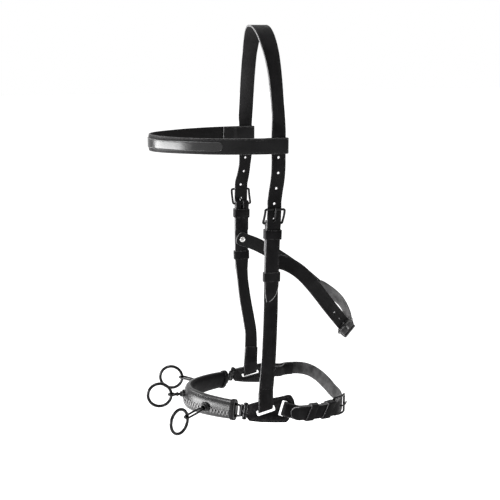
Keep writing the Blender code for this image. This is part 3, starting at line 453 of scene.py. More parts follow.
class Route:
    """Smooth middle line of a strap that knows its outward side at every point."""

    def __init__(self, knots: Sequence[Knot], per_span: int = 10) -> None:
        """Sample the line.

        Args:
            knots: places and outward directions.
            per_span: samples between two knots.
        """
        places = [Vector(k[0]) for k in knots]
        sides = [Vector(k[1]).normalized() for k in knots]
        last = len(places) - 1
        self.points: list[Vector] = []
        self.sides: list[Vector] = []
        for i in range(last):
            before = places[i - 1] if i else places[0] * 2 - places[1]
            after = places[i + 2] if i + 2 <= last else places[last] * 2 - places[last - 1]
            for k in range(per_span):
                self.points.append(spline(before, places[i], places[i + 1], after, k / per_span))
                self.sides.append(sides[i].lerp(sides[i + 1], k / per_span).normalized())
        self.points.append(places[last].copy())
        self.sides.append(sides[last].copy())
        self.reach = [0.0]
        for one, two in zip(self.points, self.points[1:]):
            self.reach.append(self.reach[-1] + (two - one).length)

    @property
    def length(self) -> float:
        """Whole length of the line."""
        return self.reach[-1]

    def slope(self, i: int) -> Vector:
        """Direction of the line at a sample."""
        return chord(self.points, i).normalized()

    def at(self, s: float) -> tuple[Vector, Vector, Vector, Vector]:
        """Read the line.

        Args:
            s: distance along the line.

        Returns:
            Place, run, across and outward directions.
        """
        if s <= 0.0 or s >= self.length:
            i = 0 if s <= 0.0 else len(self.points) - 1
            run = self.slope(i)
            place = self.points[i] + run * (s - self.reach[i])
            side = self.sides[i]
        else:
            i = 0
            while self.reach[i + 1] < s:
                i += 1
            f = (s - self.reach[i]) / (self.reach[i + 1] - self.reach[i])
            place = self.points[i].lerp(self.points[i + 1], f)
            run = self.slope(i).lerp(self.slope(i + 1), f).normalized()
            side = self.sides[i].lerp(self.sides[i + 1], f)
        side = (side - run * side.dot(run)).normalized()
        return place, run, run.cross(side), side

    def frame(self, s: float, lift: float = 0.0) -> Matrix:
        """Matrix with x across, y along the run and z outward."""
        place, run, across, side = self.at(s)
        return axes(across, run, side, place + side * lift)

    def on(self, s: float, x: float, z: float) -> Vector:
        """Place across and outward from a point of the line."""
        place, _, across, side = self.at(s)
        return place + across * x + side * z

    def lay(self, marks: Iterable[Mark]) -> list[Station]:
        """Turn (distance, lift, width) marks into stations of a strap."""
        stations = []
        for s, lift, width in marks:
            place, _, across, side = self.at(s)
            stations.append((place + side * lift, across, width))
        return stations


def facing(points: Sequence[Sequence[float]], up: Vector, sign: float = 1.0) -> list[Knot]:
    """Knots whose outward side is square to the path and to an up direction.

    Args:
        points: places along the path.
        up: the direction that the strap's width roughly follows.
        sign: 1 or -1, which way outward lies.

    Returns:
        The knots.
    """
    places = [Vector(p) for p in points]
    return [(place, up.cross(chord(places, i)).normalized() * sign) for i, place in enumerate(places)]


def blend(marks: Sequence[Mark], step: float = 2.5) -> list[Mark]:
    """Fill in evenly spaced marks with an eased lift between the given ones."""
    filled: list[Mark] = []
    for (s0, n0, w0), (s1, n1, w1) in zip(marks, marks[1:]):
        count = max(1, int(ceil(abs(s1 - s0) / step)))
        for k in range(count):
            t = k / count
            ease = t * t * (3 - 2 * t)
            filled.append((s0 + (s1 - s0) * t, n0 + (n1 - n0) * ease, w0 + (w1 - w0) * ease))
    filled.append(marks[-1])
    return filled


def fold(s: float, radius: float, width: float, start: float, turns: float) -> list[Mark]:
    """Marks round a turned-back end.

    Args:
        s: where the end is.
        radius: distance of the strap's middle from the fold's axis.
        width: the strap's width.
        start: first angle in degrees.
        turns: how far it turns in degrees.

    Returns:
        The marks.
    """
    steps = 14
    angles = [radians(start + turns * k / steps) for k in range(steps + 1)]
    return [(s + radius * cos(angle), radius * sin(angle), width) for angle in angles]


# ---- the bridle's layout


@dataclass(frozen=True)
class Layout:
    """Driving sizes of the bridle in millimetres, and the routes that follow from them."""

    thick: float = 2.6
    gap: float = 0.3
    seam_inset: float = 2.6
    slack: float = 0.4
    billet_width: float = 18.8
    cheek_x: float = 78.0
    bar_z: float = -250.0
    leg_y: float = 5.2
    chape: float = 39.0
    rivet_y: float = -1.5
    rivet_past_chape: float = 14.0
    billet_lift: float = 5.2
    far_twist: float = -0.28
    brow_z: float = -148.4
    brow_reach: float = 147.0
    brow_loop: float = 3.05
    wire: float = 3.0
    reach: float = 20.0
    yaw: float = -7.5
    roll: float = 2.9
    nose_y: float = 2.3
    nose_z: float = -510.8
    nose_reach: float = 101.0
    nose_depth: float = 14.0
    plate_x: float = 81.0
    plate_thick: float = 3.0
    plate_rise: Pair = (0.0, 3.0)
    plate_lean: Pair = (8.0, 20.0)
    slot_top: float = 2.0
    slot_tilt: float = 3.0
    loop_slope: float = 19.0
    loop_y: float = -1.6
    chin_edge: float = 26.0
    chin_rear: float = 107.5
    chin_tilt: Pair = (18.0, 2.0)
    chin_z: Pair = (-1.0, 3.0)
    hinge_y: float = -29.5
    hinge_rake: float = 10.0
    stud_spread: float = 56.0

    @property
    def ply(self) -> float:
        """Lift of one ply of a doubled strap."""
        return (self.thick + self.gap) / 2

    @property
    def seam_lift(self) -> float:
        """Height of the stitches on a doubled strap."""
        return self.ply + self.thick / 2 + 0.05

    @property
    def bar_fold(self) -> float:
        """Radius of a strap's turn round a buckle bar."""
        return self.wire / 2 + self.gap + self.thick / 2

    @property
    def plate_fold(self) -> float:
        """Radius of a strap's turn through a plate's slot."""
        return self.plate_thick / 2 + 0.5 + self.thick / 2

    @property
    def over_ply(self) -> float:
        """Lift of a billet on a doubled strap."""
        return self.ply + self.thick + 2 * self.gap

    @property
    def over_bar(self) -> float:
        """Lift of a billet over a buckle bar."""
        return self.bar_fold + self.thick + self.gap

    @property
    def rise(self) -> float:
        """Height of a buckle frame's free end."""
        return self.over_bar + self.thick / 2 + self.gap + self.wire / 2 + 0.5

    @property
    def rivet_z(self) -> float:
        """Height of the throat strap's rivets."""
        return self.bar_z - self.chape - self.rivet_past_chape

    def noseband(self) -> Matrix:
        """Frame of the noseband, turned and rolled as it hangs."""
        return shift(0.0, self.nose_y, self.nose_z) @ turned(self.yaw, "Z") @ turned(-self.roll, "Y")

    def plate(self, side: Side) -> Matrix:
        """Frame of a side plate: x outward on the near side, y to the rear, z up the plate."""
        lean = side.pick(*self.plate_lean)
        place = shift(side.value * self.plate_x, 0.0, side.pick(*self.plate_rise))
        return self.noseband() @ place @ turned(-side.value * lean, "Y")

    def hinge(self, side: Side) -> Matrix:
        """Frame of the upright hinge pin between nosepiece and side plate."""
        return self.plate(side) @ shift(-0.5 * side.value, self.hinge_y, -1.0) @ turned(-self.hinge_rake, "X")

    def cheek(self, side: Side) -> Route:
        """Middle of one cheekpiece from its buckle bar to its side plate."""
        plate = self.plate(side)
        foot = plate @ Vector((0.0, self.loop_y, self.slot_top))
        out = plate.to_3x3() @ Vector((side.value, 0.0, 0.0))
        lean = side.pick(0.05, 0.0)
        above = [plate @ Vector((0.0, self.loop_y + r * lean, self.slot_top + r)) for r in (24.0, 12.0)]
        x = self.cheek_x
        if side is Side.NEAR:
            drops = [(x, -0.8, 0, 1, 0), (x, -1.6, 27, 1, 0), (x, -2.5, 57, 1, 0), (x, -2.9, 87, 1, 0)]
            drops += [(x, -3.1, 117, 1, 0), (x + 0.6, -4.2, 150, 1, -0.03), (x + 1.3, -6.1, 190, 0.995, -0.08)]
        else:
            drops = [(-x, -1.8, 0, -1, 0), (-x, -2.2, 27, -1, 0), (-x, -2.0, 62, -1, 0), (-x, -1.6, 84, -1, 0)]
            drops += [(-x, -1.0, 99, -0.95, -0.31), (-x, 0.4, 116, -0.91, -0.42)]
            drops += [(-x - 0.3, 2.8, 136, -0.93, -0.37), (-x - 0.8, 6.0, 156, -0.94, -0.34)]
            drops += [(-x - 1.3, 9.8, 177, -0.95, -0.31), (-x - 1.8, 13.2, 202, -0.97, -0.24)]
        knots = [(Vector((px, py, self.bar_z - drop)), Vector((nx, ny, 0))) for px, py, drop, nx, ny in drops]
        return Route(knots + [(above[0], out), (above[1], out), (foot, out)])

    def crown(self, side: Side) -> Route:
        """Middle of one half of the headpiece from the poll to the cheek buckle."""
        x = self.cheek_x + self.billet_lift
        y = self.leg_y
        top = self.thick / 2
        twist = side.pick(0.0, self.far_twist)
        table = [(0, 0, top, 0, 0, 1), (8, 0, top, 0, 0, 1), (20, 0.8, -2.2, 0.36, 0.0, 0.93)]
        table += [(32, 1.8, -9.5, 0.60, 0.06, 0.8), (43, 2.8, -20.5, 0.70, 0.14, 0.7), (52, 3.6, -32, 0.78, 0.24, 0.6)]
        table += [(59.5, 4.2, -44.5, 0.82, 0.33, 0.48), (66, 4.7, -59, 0.85, 0.40, 0.36)]
        table += [(71.5, 5.0, -75, 0.87, 0.42, 0.27), (76.5, 5.3, -94, 0.89, 0.40, 0.2)]
        table += [(x - 2.4, y + 0.3, -111, 0.93, 0.33, 0.08), (x - 0.4, y, -123, 0.98, 0.17, 0)]
        table += [(x, y, -134, 1, 0, 0), (x, y, -158, 1, 0, 0), (x, y, -177, 1, 0, 0)]
        table += [(x, y - 1.2, -193, 1, twist, 0), (x, y - 3.4, -207, 1, twist * 0.6, 0)]
        sign = side.value
        knots = [(Vector((px * sign, py, pz)), Vector((nx * sign, ny, nz))) for px, py, pz, nx, ny, nz in table]
        foot = self.cheek(side).at(-30.0)
        return Route(knots + [(foot[0] + foot[3] * self.billet_lift, foot[3])])

    def brow(self) -> Route:
        """Middle of the browband from its near end round the forehead to its far end."""
        loop_x = self.cheek_x + self.billet_lift + self.brow_loop
        shares = [(0.983, 0.150), (0.945, 0.286), (0.881, 0.429), (0.800, 0.558)]
        shares += [(0.672, 0.694), (0.516, 0.820), (0.336, 0.922), (0.151, 0.983)]
        half = [(loop_x, self.leg_y + self.billet_width / 2 - 0.3), (loop_x, -6)]
        half += [(loop_x * x, -self.brow_reach * y) for x, y in shares]
        points = half + [(0, -self.brow_reach)] + [(-x, y) for x, y in reversed(half)]
        return Route(facing([(x, y, self.brow_z) for x, y in points], UP))

    def throat(self) -> Route:
        """Middle of the throat strap from the near rivet round the jaw to the far rivet."""
        x = self.cheek_x - self.ply
        drops = [(x, 12, 0.3), (x - 0.2, 26, 6.5), (x - 1.05, 40, 16.8), (x - 3.55, 54, 31.3)]
        drops += [(68, 70.5, 51.3), (60.5, 87, 72.3), (49, 103.5, 92.5), (36.5, 117, 107.5), (22, 126.5, 117.5)]
        drops += [(7, 132, 117), (-8, 132.5, 108), (-25, 126.5, 93), (-44, 110, 75), (-61, 86, 53)]
        drops += [(-x + 5.55, 61, 34), (-x + 1.05, 38, 19), (-x, 18, 8)]
        ends = [(x, self.rivet_y, self.rivet_z), (-x, self.rivet_y, self.rivet_z)]
        path = ends[:1] + [(px, py, self.rivet_z - drop) for px, py, drop in drops] + ends[1:]
        return Route(facing(path, Vector((0.0, 0.65, 0.76)), -1.0))

    def slot_end(self, side: Side) -> list[Knot]:
        """Knots of the chin route beside a rear slot, flat in the side plate."""
        plate = self.plate(side)
        out = plate.to_3x3() @ Vector((side.value, 0.0, 0.0))
        drop = tan(radians(side.pick(*self.chin_tilt)))
        z = side.pick(*self.chin_z)
        return [(plate @ Vector((0.0, self.chin_edge + run, z - run * drop)), out) for run in (0.0, 9.0, 18.0)]

    def chin(self) -> Route:
        """Middle of the chin strap from the far plate round the back to the near plate."""
        far = self.plate_x - 4.0
        near = self.plate_x + 4.3
        rear = self.chin_rear
        drops = [(-far, 66, -1.3), (-far - 1, 77, -0.8), (-far + 1, rear - 19.5, -0.3)]
        drops += [(-far + 7.5, rear - 10.5, 0.4), (-far + 19, rear - 4.5, 1.5), (-42, rear - 1, 2.7)]
        drops += [(-20, rear, 3.2), (4, rear - 0.3, 3.2), (28, rear - 1.5, 3.2), (48, rear - 3.7, 3.2)]
        drops += [(near - 22.3, rear - 8, 3.2), (near - 10.8, rear - 15, 3.2), (near - 3.8, rear - 25, 3.2)]
        drops += [(near - 0.7, 70, 3.2), (near, 56, 3.5)]
        path = [(x, y, self.nose_z - drop) for x, y, drop in drops]
        return Route(self.slot_end(Side.FAR) + facing(path, UP) + list(reversed(self.slot_end(Side.NEAR))))

    def nose(self) -> Route:
        """Middle of the nosepiece from its near end round the front, leaning in at its ends."""
        sag = {1: -1.4, 0: -0.8, -1: -3.8}
        leans = {1: 10.0, 0: 11.0, -1: 20.0}
        end_x = self.plate_x - 4.5
        end_y = self.hinge_y - 7.5
        shares = [(1, 0), (0.922, 0.148), (0.824, 0.328), (0.693, 0.523)]
        shares += [(0.549, 0.703), (0.386, 0.859), (0.203, 0.966)]
        half = [(end_x * x, end_y - (self.nose_reach + end_y) * y) for x, y in shares]
        points = half + [(0, -self.nose_reach)] + [(-x, y) for x, y in reversed(half)]
        middle = len(half)
        band = self.noseband()
        places = []
        for i, (x, y) in enumerate(points):
            side = 1 if i < middle else -1
            away = abs(i - middle) / middle
            places.append(band @ Vector((x, y, sag[0] + (sag[side] - sag[0]) * away * away)))
        knots = []
        for i, (place, out) in enumerate(facing(places, UP)):
            side = 1 if i < middle else -1
            lean = radians(leans[0] + (leans[side] - leans[0]) * abs(i - middle) / middle)
            knots.append((place, out * cos(lean) + UP * sin(lean)))
        return Route(knots)

    def stud(self, stud: Stud) -> Matrix:
        """Frame on the nosepiece's outer face; z points along the stud and y is up."""
        drop = {Stud.NEAR: 0.5, Stud.CENTRE: -1.5, Stud.FAR: -2.4}[stud]
        droop, turn = (8.0, -6.0) if stud is Stud.NEAR else (0.0, 0.0)
        nose = self.nose()
        place, _, _, out = nose.at(nose.length / 2 + stud.value * self.stud_spread)
        up = (self.noseband().to_3x3() @ UP).normalized()
        out = (out - up * out.dot(up)).normalized()
        place = place + out * (self.nose_depth / 2) - up * drop
        return axes(up.cross(out), up, out, place) @ turned(turn, "Y") @ turned(droop, "X")

    def rivet(self, side: Side) -> Matrix:
        """Frame of a throat strap's rivet; z points outward through the cheekpiece."""
        return shift(side.value * self.cheek_x, self.rivet_y, self.rivet_z) @ turned(90 * side.value, "Y")


PLAN = Layout()


# ---- mesh tools


@dataclass(frozen=True)
class Rim:
    """One point of a cross-section: its place, the skin of the face after it, and its wear."""

    x: float
    y: float
    skin: Skin = Skin.GRAIN
    wear: float = 0.0


Section = Callable[[float, float], list[Rim]]


def strap_section(grain: float, crease: float = 2.1) -> Section:
    """Make a flat strap's cross-section.

    Args:
        grain: 1 or -1, the side of the section that shows the grain.
        crease: distance of the tooled crease from the edge.

    Returns:
        A function of width and thickness.
    """
    skins = [Skin.GRAIN] * 10 + [Skin.EDGE] * 3 + [Skin.FLESH] * 4 + [Skin.EDGE] * 3 + [Skin.GRAIN]

    def section(width: float, thick: float) -> list[Rim]:
        """Points round a strap with softened edges and a crease line along each edge."""
        w = width / 2
        t = thick / 2
        r = min(0.6, w * 0.3, t * 0.6)
        c = min(crease, w * 0.55)
        half = [(w * 0.34, t, 0.0), (w - c * 1.12, t, 0.0), (w - c * 0.9, t - 0.18, 1.0), (w - c * 0.72, t + 0.02, 0.7)]
        half += [(w - r, t, 1.0), (w - r * 0.3, t - r * 0.3, 1.0), (w, t - r, 1.0)]
        half += [(w, -t + r, 1.0), (w - r * 0.3, -t + r * 0.3, 1.0), (w - r, -t, 0.0)]
        other = [(-x, y, wear) for x, y, wear in reversed(half)]
        points = other[5:] + half + [(0.0, -t, 0.0)] + other[:5]
        return [Rim(x, y * grain, skin, wear) for (x, y, wear), skin in zip(points, skins)]

    return section


class Growing:
    """A skin pulled along a path one loop of points at a time."""

    def __init__(self) -> None:
        """Start an empty mesh with the layers that the finishes read."""
        self.bm = bmesh.new()
        self.wear = self.bm.verts.layers.float.new("wear")
        self.index = self.bm.verts.layers.int.new("rim")
        self.along = self.bm.verts.layers.float.new("along")
        self.across = self.bm.verts.layers.float.new("across")
        self.ring: list[bmesh.types.BMVert] = []
        self.first: list[bmesh.types.BMVert] = []
        self.travel = 0.0

    def edges(self, ring: list[bmesh.types.BMVert]) -> list[bmesh.types.BMEdge]:
        """Edges of a closed loop of points."""
        return [self.bm.edges.get((a, b)) for a, b in zip(ring, ring[1:] + ring[:1])]

    def step(self, places: Sequence[Vector], rims: Sequence[Rim], travel: float) -> None:
        """Pull the skin on to new places.

        Args:
            places: where each point of the loop goes.
            rims: the section's points.
            travel: distance along the path, for the patterns that follow it.
        """
        if not self.ring:
            self.ring = [self.bm.verts.new(p) for p in places]
            for a, b in zip(self.ring, self.ring[1:] + self.ring[:1]):
                self.bm.edges.new((a, b))
            self.first = self.ring
        else:
            made = set(ops.extrude_edge_only(self.bm, edges=self.edges(self.ring))["geom"])
            self.ring = [next(e.other_vert(v) for e in v.link_edges if e.other_vert(v) in made) for v in self.ring]
        for number, (vert, place, rim) in enumerate(zip(self.ring, places, rims)):
            vert.co = place
            vert[self.wear] = rim.wear
            vert[self.index] = number
            vert[self.along] = travel
            vert[self.across] = rim.x

    def cap_ends(self) -> None:
        """Close both ends, each with a face of its own kind."""
        for ring in (self.first, self.ring):
            for face in ops.contextual_create(self.bm, geom=self.edges(ring))["faces"]:
                face.material_index = Skin.EDGE.value

    def close(self) -> None:
        """Join the last loop to the first."""
        ops.bridge_loops(self.bm, edges=self.edges(self.ring) + self.edges(self.first))

    def paint(self, rims: Sequence[Rim]) -> None:
        """Give every side face the skin of its place on the section, and its pattern coordinates."""
        count = len(rims)
        uv = self.bm.loops.layers.uv.new("UVMap")
        for face in self.bm.faces:
            if len(face.verts) == 4:
                numbers = sorted({v[self.index] for v in face.verts})
                first = count - 1 if numbers == [0, count - 1] else numbers[0]
                face.material_index = rims[first].skin.value
            face.smooth = True
            for loop in face.loops:
                loop[uv].uv = (loop.vert[self.along] * MM, loop.vert[self.across] * MM)


def shaded(bm: Shape, sharp: float) -> None:
    """Shade a bmesh smooth, but for edges sharper than an angle in degrees."""
    for face in bm.faces:
        face.smooth = True
    for edge in bm.edges:
        edge.smooth = not (edge.is_manifold and edge.calc_face_angle(0.0) > radians(sharp))


def finish_mesh(bm: Shape, name: str, sharp: float = 40.0) -> bpy.types.Mesh:
    """Turn a millimetre bmesh into a mesh in metres, faces outward.

    Args:
        bm: the bmesh, which is freed.
        name: the mesh's name.
        sharp: angle in degrees above which an edge is shaded sharp.

    Returns:
        The mesh.
    """
    ops.recalc_face_normals(bm, faces=bm.faces)
    ops.scale(bm, vec=Vector((MM, MM, MM)), verts=bm.verts)
    shaded(bm, sharp)
    mesh = bpy.data.meshes.new(name)
    bm.to_mesh(mesh)
    bm.free()
    return mesh


def linked(name: str, data: bpy.types.ID) -> bpy.types.Object:
    """Make an object and link it to the scene."""
    obj = bpy.data.objects.new(name, data)
    bpy.context.scene.collection.objects.link(obj)
    return obj


def put(name: str, mesh: bpy.types.Mesh | Shape, materials: Sequence[Material], body: str,
        nodes: Sequence[str] = (), sharp: float = 40.0) -> bpy.types.Object:
    """Put a finished piece into the scene on its body.

    Args:
        name: the piece's name.
        mesh: its mesh in metres, or its shape in millimetres.
        materials: its finishes.
        body: the body that it rides on.
        nodes: CAD nodes that it stands for.
        sharp: angle in degrees above which a shape's edge is shaded sharp.

    Returns:
        The object.
    """
    if isinstance(mesh, Shape):
        mesh = finish_mesh(mesh, name, sharp)
    obj = linked(name, mesh)
    slots = obj.data.materials
    for number, material in enumerate(materials):
        if number < len(slots):
            slots[number] = material
        else:
            slots.append(material)
    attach(obj, body)
    if nodes:
        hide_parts(*nodes)
    LOG.info("%s rides on %s", name, body)
    return obj


def grown(stations: Sequence[Station], section: Section, thick: float) -> Shape:
    """Pull a section along a strap's stations and close both ends.

    Args:
        stations: place, across direction and width.
        section: the cross-section.
        thick: the strap's thickness.

    Returns:
        The closed skin.
    """
    skin = Growing()
    path = [station[0] for station in stations]
    before = None
    travel = 0.0
    rims: list[Rim] = []
    for i, (place, across, width) in enumerate(stations):
        run = chord(path, i).normalized()
        over = (across - run * across.dot(run)).normalized()
        if before is not None and over.dot(before) < 0:
            over.negate()
        before = over
        up = run.cross(over)
        rims = section(width, thick)
        if i:
            travel += (place - path[i - 1]).length
        skin.step([place + over * rim.x + up * rim.y for rim in rims], rims, travel)
    skin.cap_ends()
    skin.paint(rims)
    return skin.bm


def skewed(bm: Shape, foot: Matrix, slope: float, reach: float) -> None:
    """Slide a strap's end so that its fold lies at a slope.

    Args:
        bm: the strap in millimetres.
        foot: frame at the fold, x across and y along the strap.
        slope: how far the end slides for each millimetre across.
        reach: length over which the slide eases in.
    """
    inverse = foot.inverted()
    run = foot.to_3x3() @ Vector((0.0, 1.0, 0.0))
    for vert in bm.verts:
        local = inverse @ vert.co
        if -reach < local.y < 12.0 and abs(local.x) < 15.0 and abs(local.z) < 12.0:
            t = min(1.0, (local.y + reach) / (reach * 0.8))
            vert.co += run * (local.x * slope * t * t * (3 - 2 * t))


def merged(shapes: Sequence[Shape]) -> Shape:
    """Put several shapes into one bmesh."""
    whole = bmesh.new()
    for shape in shapes:
        spare = bpy.data.meshes.new("spare")
        ops.recalc_face_normals(shape, faces=shape.faces)
        shape.to_mesh(spare)
        shape.free()
        whole.from_mesh(spare)
        bpy.data.meshes.remove(spare)
    return whole


def punched(bm: Shape, name: str, cutters: Sequence[Shape]) -> bpy.types.Mesh:
    """Cut holes and slots through a piece.

    Args:
        bm: the piece in millimetres.
        name: the mesh's name.
        cutters: closed shapes that don't touch each other.

    Returns:
        The cut mesh in metres, with its holes shown as cut edges.
    """
    body = linked(name, finish_mesh(bm, name))
    joined = merged(cutters)
    for face in joined.faces:
        face.material_index = Skin.EDGE.value
    tool = linked(name + "_cutter", finish_mesh(joined, name + "_cutter"))
    for obj in (body, tool):
        for _ in Skin:
            obj.data.materials.append(None)
    step = body.modifiers.new("holes", "BOOLEAN")
    step.operation = "DIFFERENCE"
    step.solver = "EXACT"
    step.object = tool
    bpy.context.view_layer.update()
    mesh = bpy.data.meshes.new_from_object(body.evaluated_get(bpy.context.evaluated_depsgraph_get()))
    for obj in (body, tool):
        data = obj.data
        bpy.data.objects.remove(obj, do_unlink=True)
        bpy.data.meshes.remove(data)
    mesh.name = name
    return mesh


def peg(place: Matrix, radius: float, low: float, high: float, sides: int = 20) -> Shape:
    """Round cutter along a frame's z axis."""
    bm = bmesh.new()
    ops.create_cone(bm, cap_ends=True, segments=sides, radius1=radius, radius2=radius, depth=high - low,
                    matrix=place @ shift(0.0, 0.0, (low + high) / 2))
    return bm


def hole(place: Matrix, radius: float) -> Shape:
    """Cutter for a round hole through one ply of leather."""
    return peg(place, radius, -PLAN.thick, PLAN.thick)


def bevelled(bm: Shape, edges: Sequence[bmesh.types.BMEdge], offset: float, segments: int = 3) -> None:
    """Round off some edges."""
    ops.bevel(bm, geom=edges, offset=offset, segments=segments, profile=0.5, affect="EDGES", material=-1)


def slab(place: Matrix, half_x: float, y0: float, y1: float, half_z: float, round_off: float) -> Shape:
    """Box in a frame, with its upright edges rounded."""
    bm = bmesh.new()
    ops.create_cube(bm, size=1.0, matrix=Matrix.Diagonal((half_x * 2, y1 - y0, half_z * 2, 1.0)))
    bevelled(bm, [e for e in bm.edges if abs(e.verts[0].co.z - e.verts[1].co.z) > half_z], round_off)
    ops.transform(bm, matrix=place @ shift(0.0, (y0 + y1) / 2, 0.0), verts=bm.verts)
    return bm


def spun(bm: Shape, geom: list, steps: int, place: Matrix) -> Shape:
    """Spin a section once round the z axis, then move the shape into a frame."""
    ops.spin(bm, geom=geom, cent=(0, 0, 0), axis=(0, 0, 1), angle=tau, steps=steps, use_merge=True)
    ops.remove_doubles(bm, verts=bm.verts, dist=0.001)
    ops.transform(bm, matrix=place, verts=bm.verts)
    return bm


def lathe(place: Matrix, outline: Sequence[Pair], steps: int = 40, hollow: bool = False) -> Shape:
    """Spin a (radius, height) outline round a frame's z axis.

    Args:
        place: the frame.
        outline: points from one end to the other; an end away from the axis is closed flat.
        steps: segments round the axis.
        hollow: whether the outline runs back to its start instead, for a sleeve.

    Returns:
        The closed shape.
    """
    bm = bmesh.new()
    points = list(outline)
    if not hollow and points[0][0] > 0:
        points.insert(0, (0.0, points[0][1]))
    if not hollow and points[-1][0] > 0:
        points.append((0.0, points[-1][1]))
    verts = [bm.verts.new((radius, 0.0, height)) for radius, height in points]
    ends = verts[:1] if hollow else []
    edges = [bm.edges.new(pair) for pair in zip(verts, verts[1:] + ends)]
    return spun(bm, verts + edges, steps, place)


def hoop(place: Matrix, radius: float, wire: float, steps: int) -> Shape:
    """Round wire ring in a frame's x-z plane, made by spinning its section."""
    bm = bmesh.new()
    made = ops.create_circle(bm, segments=20, radius=wire / 2, matrix=shift(radius, 0.0, 0.0))
    ops.rotate(bm, cent=(radius, 0, 0), matrix=turned(90, "X").to_3x3(), verts=bm.verts)
    return spun(bm, made["verts"] + list(bm.edges), steps, place @ turned(90, "X"))


def rod(points: Sequence[Vector], radii: Sequence[float], up: Vector, closed: bool = False, sides: int = 16,
        flat: float = 1.0) -> Shape:
    """Pull a round or flattened wire along points.

    Args:
        points: the wire's middle.
        radii: its radius at each point.
        up: a direction square to most of the wire.
        closed: whether it runs back into itself.
        sides: points round the wire.
        flat: height of the wire over its width.

    Returns:
        The closed shape.
    """
    skin = Growing()
    angles = [tau * k / sides for k in range(sides)]
    rims = [Rim(cos(angle), sin(angle)) for angle in angles]
    for i, place in enumerate(points):
        ahead = points[(i + 1) % len(points)] if closed else points[min(i + 1, len(points) - 1)]
        behind = points[i - 1] if closed or i else points[0]
        run = (ahead - behind).normalized()
        out = (up - run * up.dot(run)).normalized()
        over = run.cross(out)
        skin.step([place + (over * r.x + out * r.y * flat) * radii[i] for r in rims], rims, float(i))
    if closed:
        skin.close()
    else:
        skin.cap_ends()
    return skin.bm


def round_corners(half: float, low: float, high: float, corner: float, steps: int
                  ) -> list[tuple[float, float, float, float]]:
    """Arcs of a rounded box's four corners.

    Args:
        half: half of its width.
        low: its bottom.
        high: its top.
        corner: radius of the corners.
        steps: steps in each arc.

    Returns:
        The arc's centre across and up, and the outward direction's across and up parts, for every point.
    """
    arcs = []
    centres = [(half - corner, high - corner), (-half + corner, high - corner),
               (-half + corner, low + corner), (half - corner, low + corner)]
    for number, (x, z) in enumerate(centres):
        for k in range(steps + 1):
            angle = radians(90 * number + 90 * k / steps)
            arcs.append((x, z, cos(angle), sin(angle)))
    return arcs


def puffed(angle: float) -> Pair:
    """Point at an angle on a puffed-up box of unit size."""
    x, y = cos(angle), sin(angle)
    return copysign(abs(x) ** 0.8, x), copysign(abs(y) ** 0.8, y)


def tapered(t: float, least: float) -> Pair:
    """Ease a share of the way to a rounded end, and give the share of the width that is left there."""
    eased = 1 - (1 - t) ** 1.5
    return eased, max(least, sqrt(max(0.0, 1 - eased ** 2)))


# ---- stitching


@dataclass(frozen=True)
class Stitching:
    """Saddle stitching: short slanted stitches that sit half in the leather."""

    pitch: float = 4.2
    length: float = 3.1
    width: float = 0.85
    height: float = 0.55
    slant: float = 9.0

    def one(self, place: Matrix) -> Shape:
        """One stitch lying along a frame's y axis."""
        bm = bmesh.new()
        ops.create_uvsphere(bm, u_segments=8, v_segments=6, radius=0.5)
        ops.rotate(bm, cent=(0, 0, 0), matrix=turned(90, "X").to_3x3(), verts=bm.verts)
        size = Matrix.Diagonal((self.width, self.length, self.height, 1.0))
        ops.transform(bm, matrix=place @ size, verts=bm.verts)
        return bm

    def spread(self, start: float, stop: float) -> list[float]:
        """Middles of the stitches that fit between two distances."""
        count = max(2, int(round(abs(stop - start) / self.pitch)))
        return [start + (stop - start) * (k + 0.5) / count for k in range(count)]

    def row(self, route: Route, start: float, stop: float, x: float, lift: float) -> list[Shape]:
        """Stitch along a route.

        Args:
            route: the strap's route.
            start: first distance along it.
            stop: last distance along it.
            x: distance across from the middle.
            lift: height of the leather's surface.

        Returns:
            One shape for each stitch.
        """
        slant = turned(self.slant, "Z")
        return [self.one(route.frame(s, lift) @ shift(x, 0.0, 0.0) @ slant) for s in self.spread(start, stop)]

    def across(self, route: Route, s: float, half: float, lift: float) -> list[Shape]:
        """Stitch across a strap at one place."""
        slant = turned(90 + self.slant, "Z")
        return [self.one(route.frame(s, lift) @ shift(x, 0.0, 0.0) @ slant) for x in self.spread(-half, half)]


STITCH = Stitching()


# ---- shared strap parts


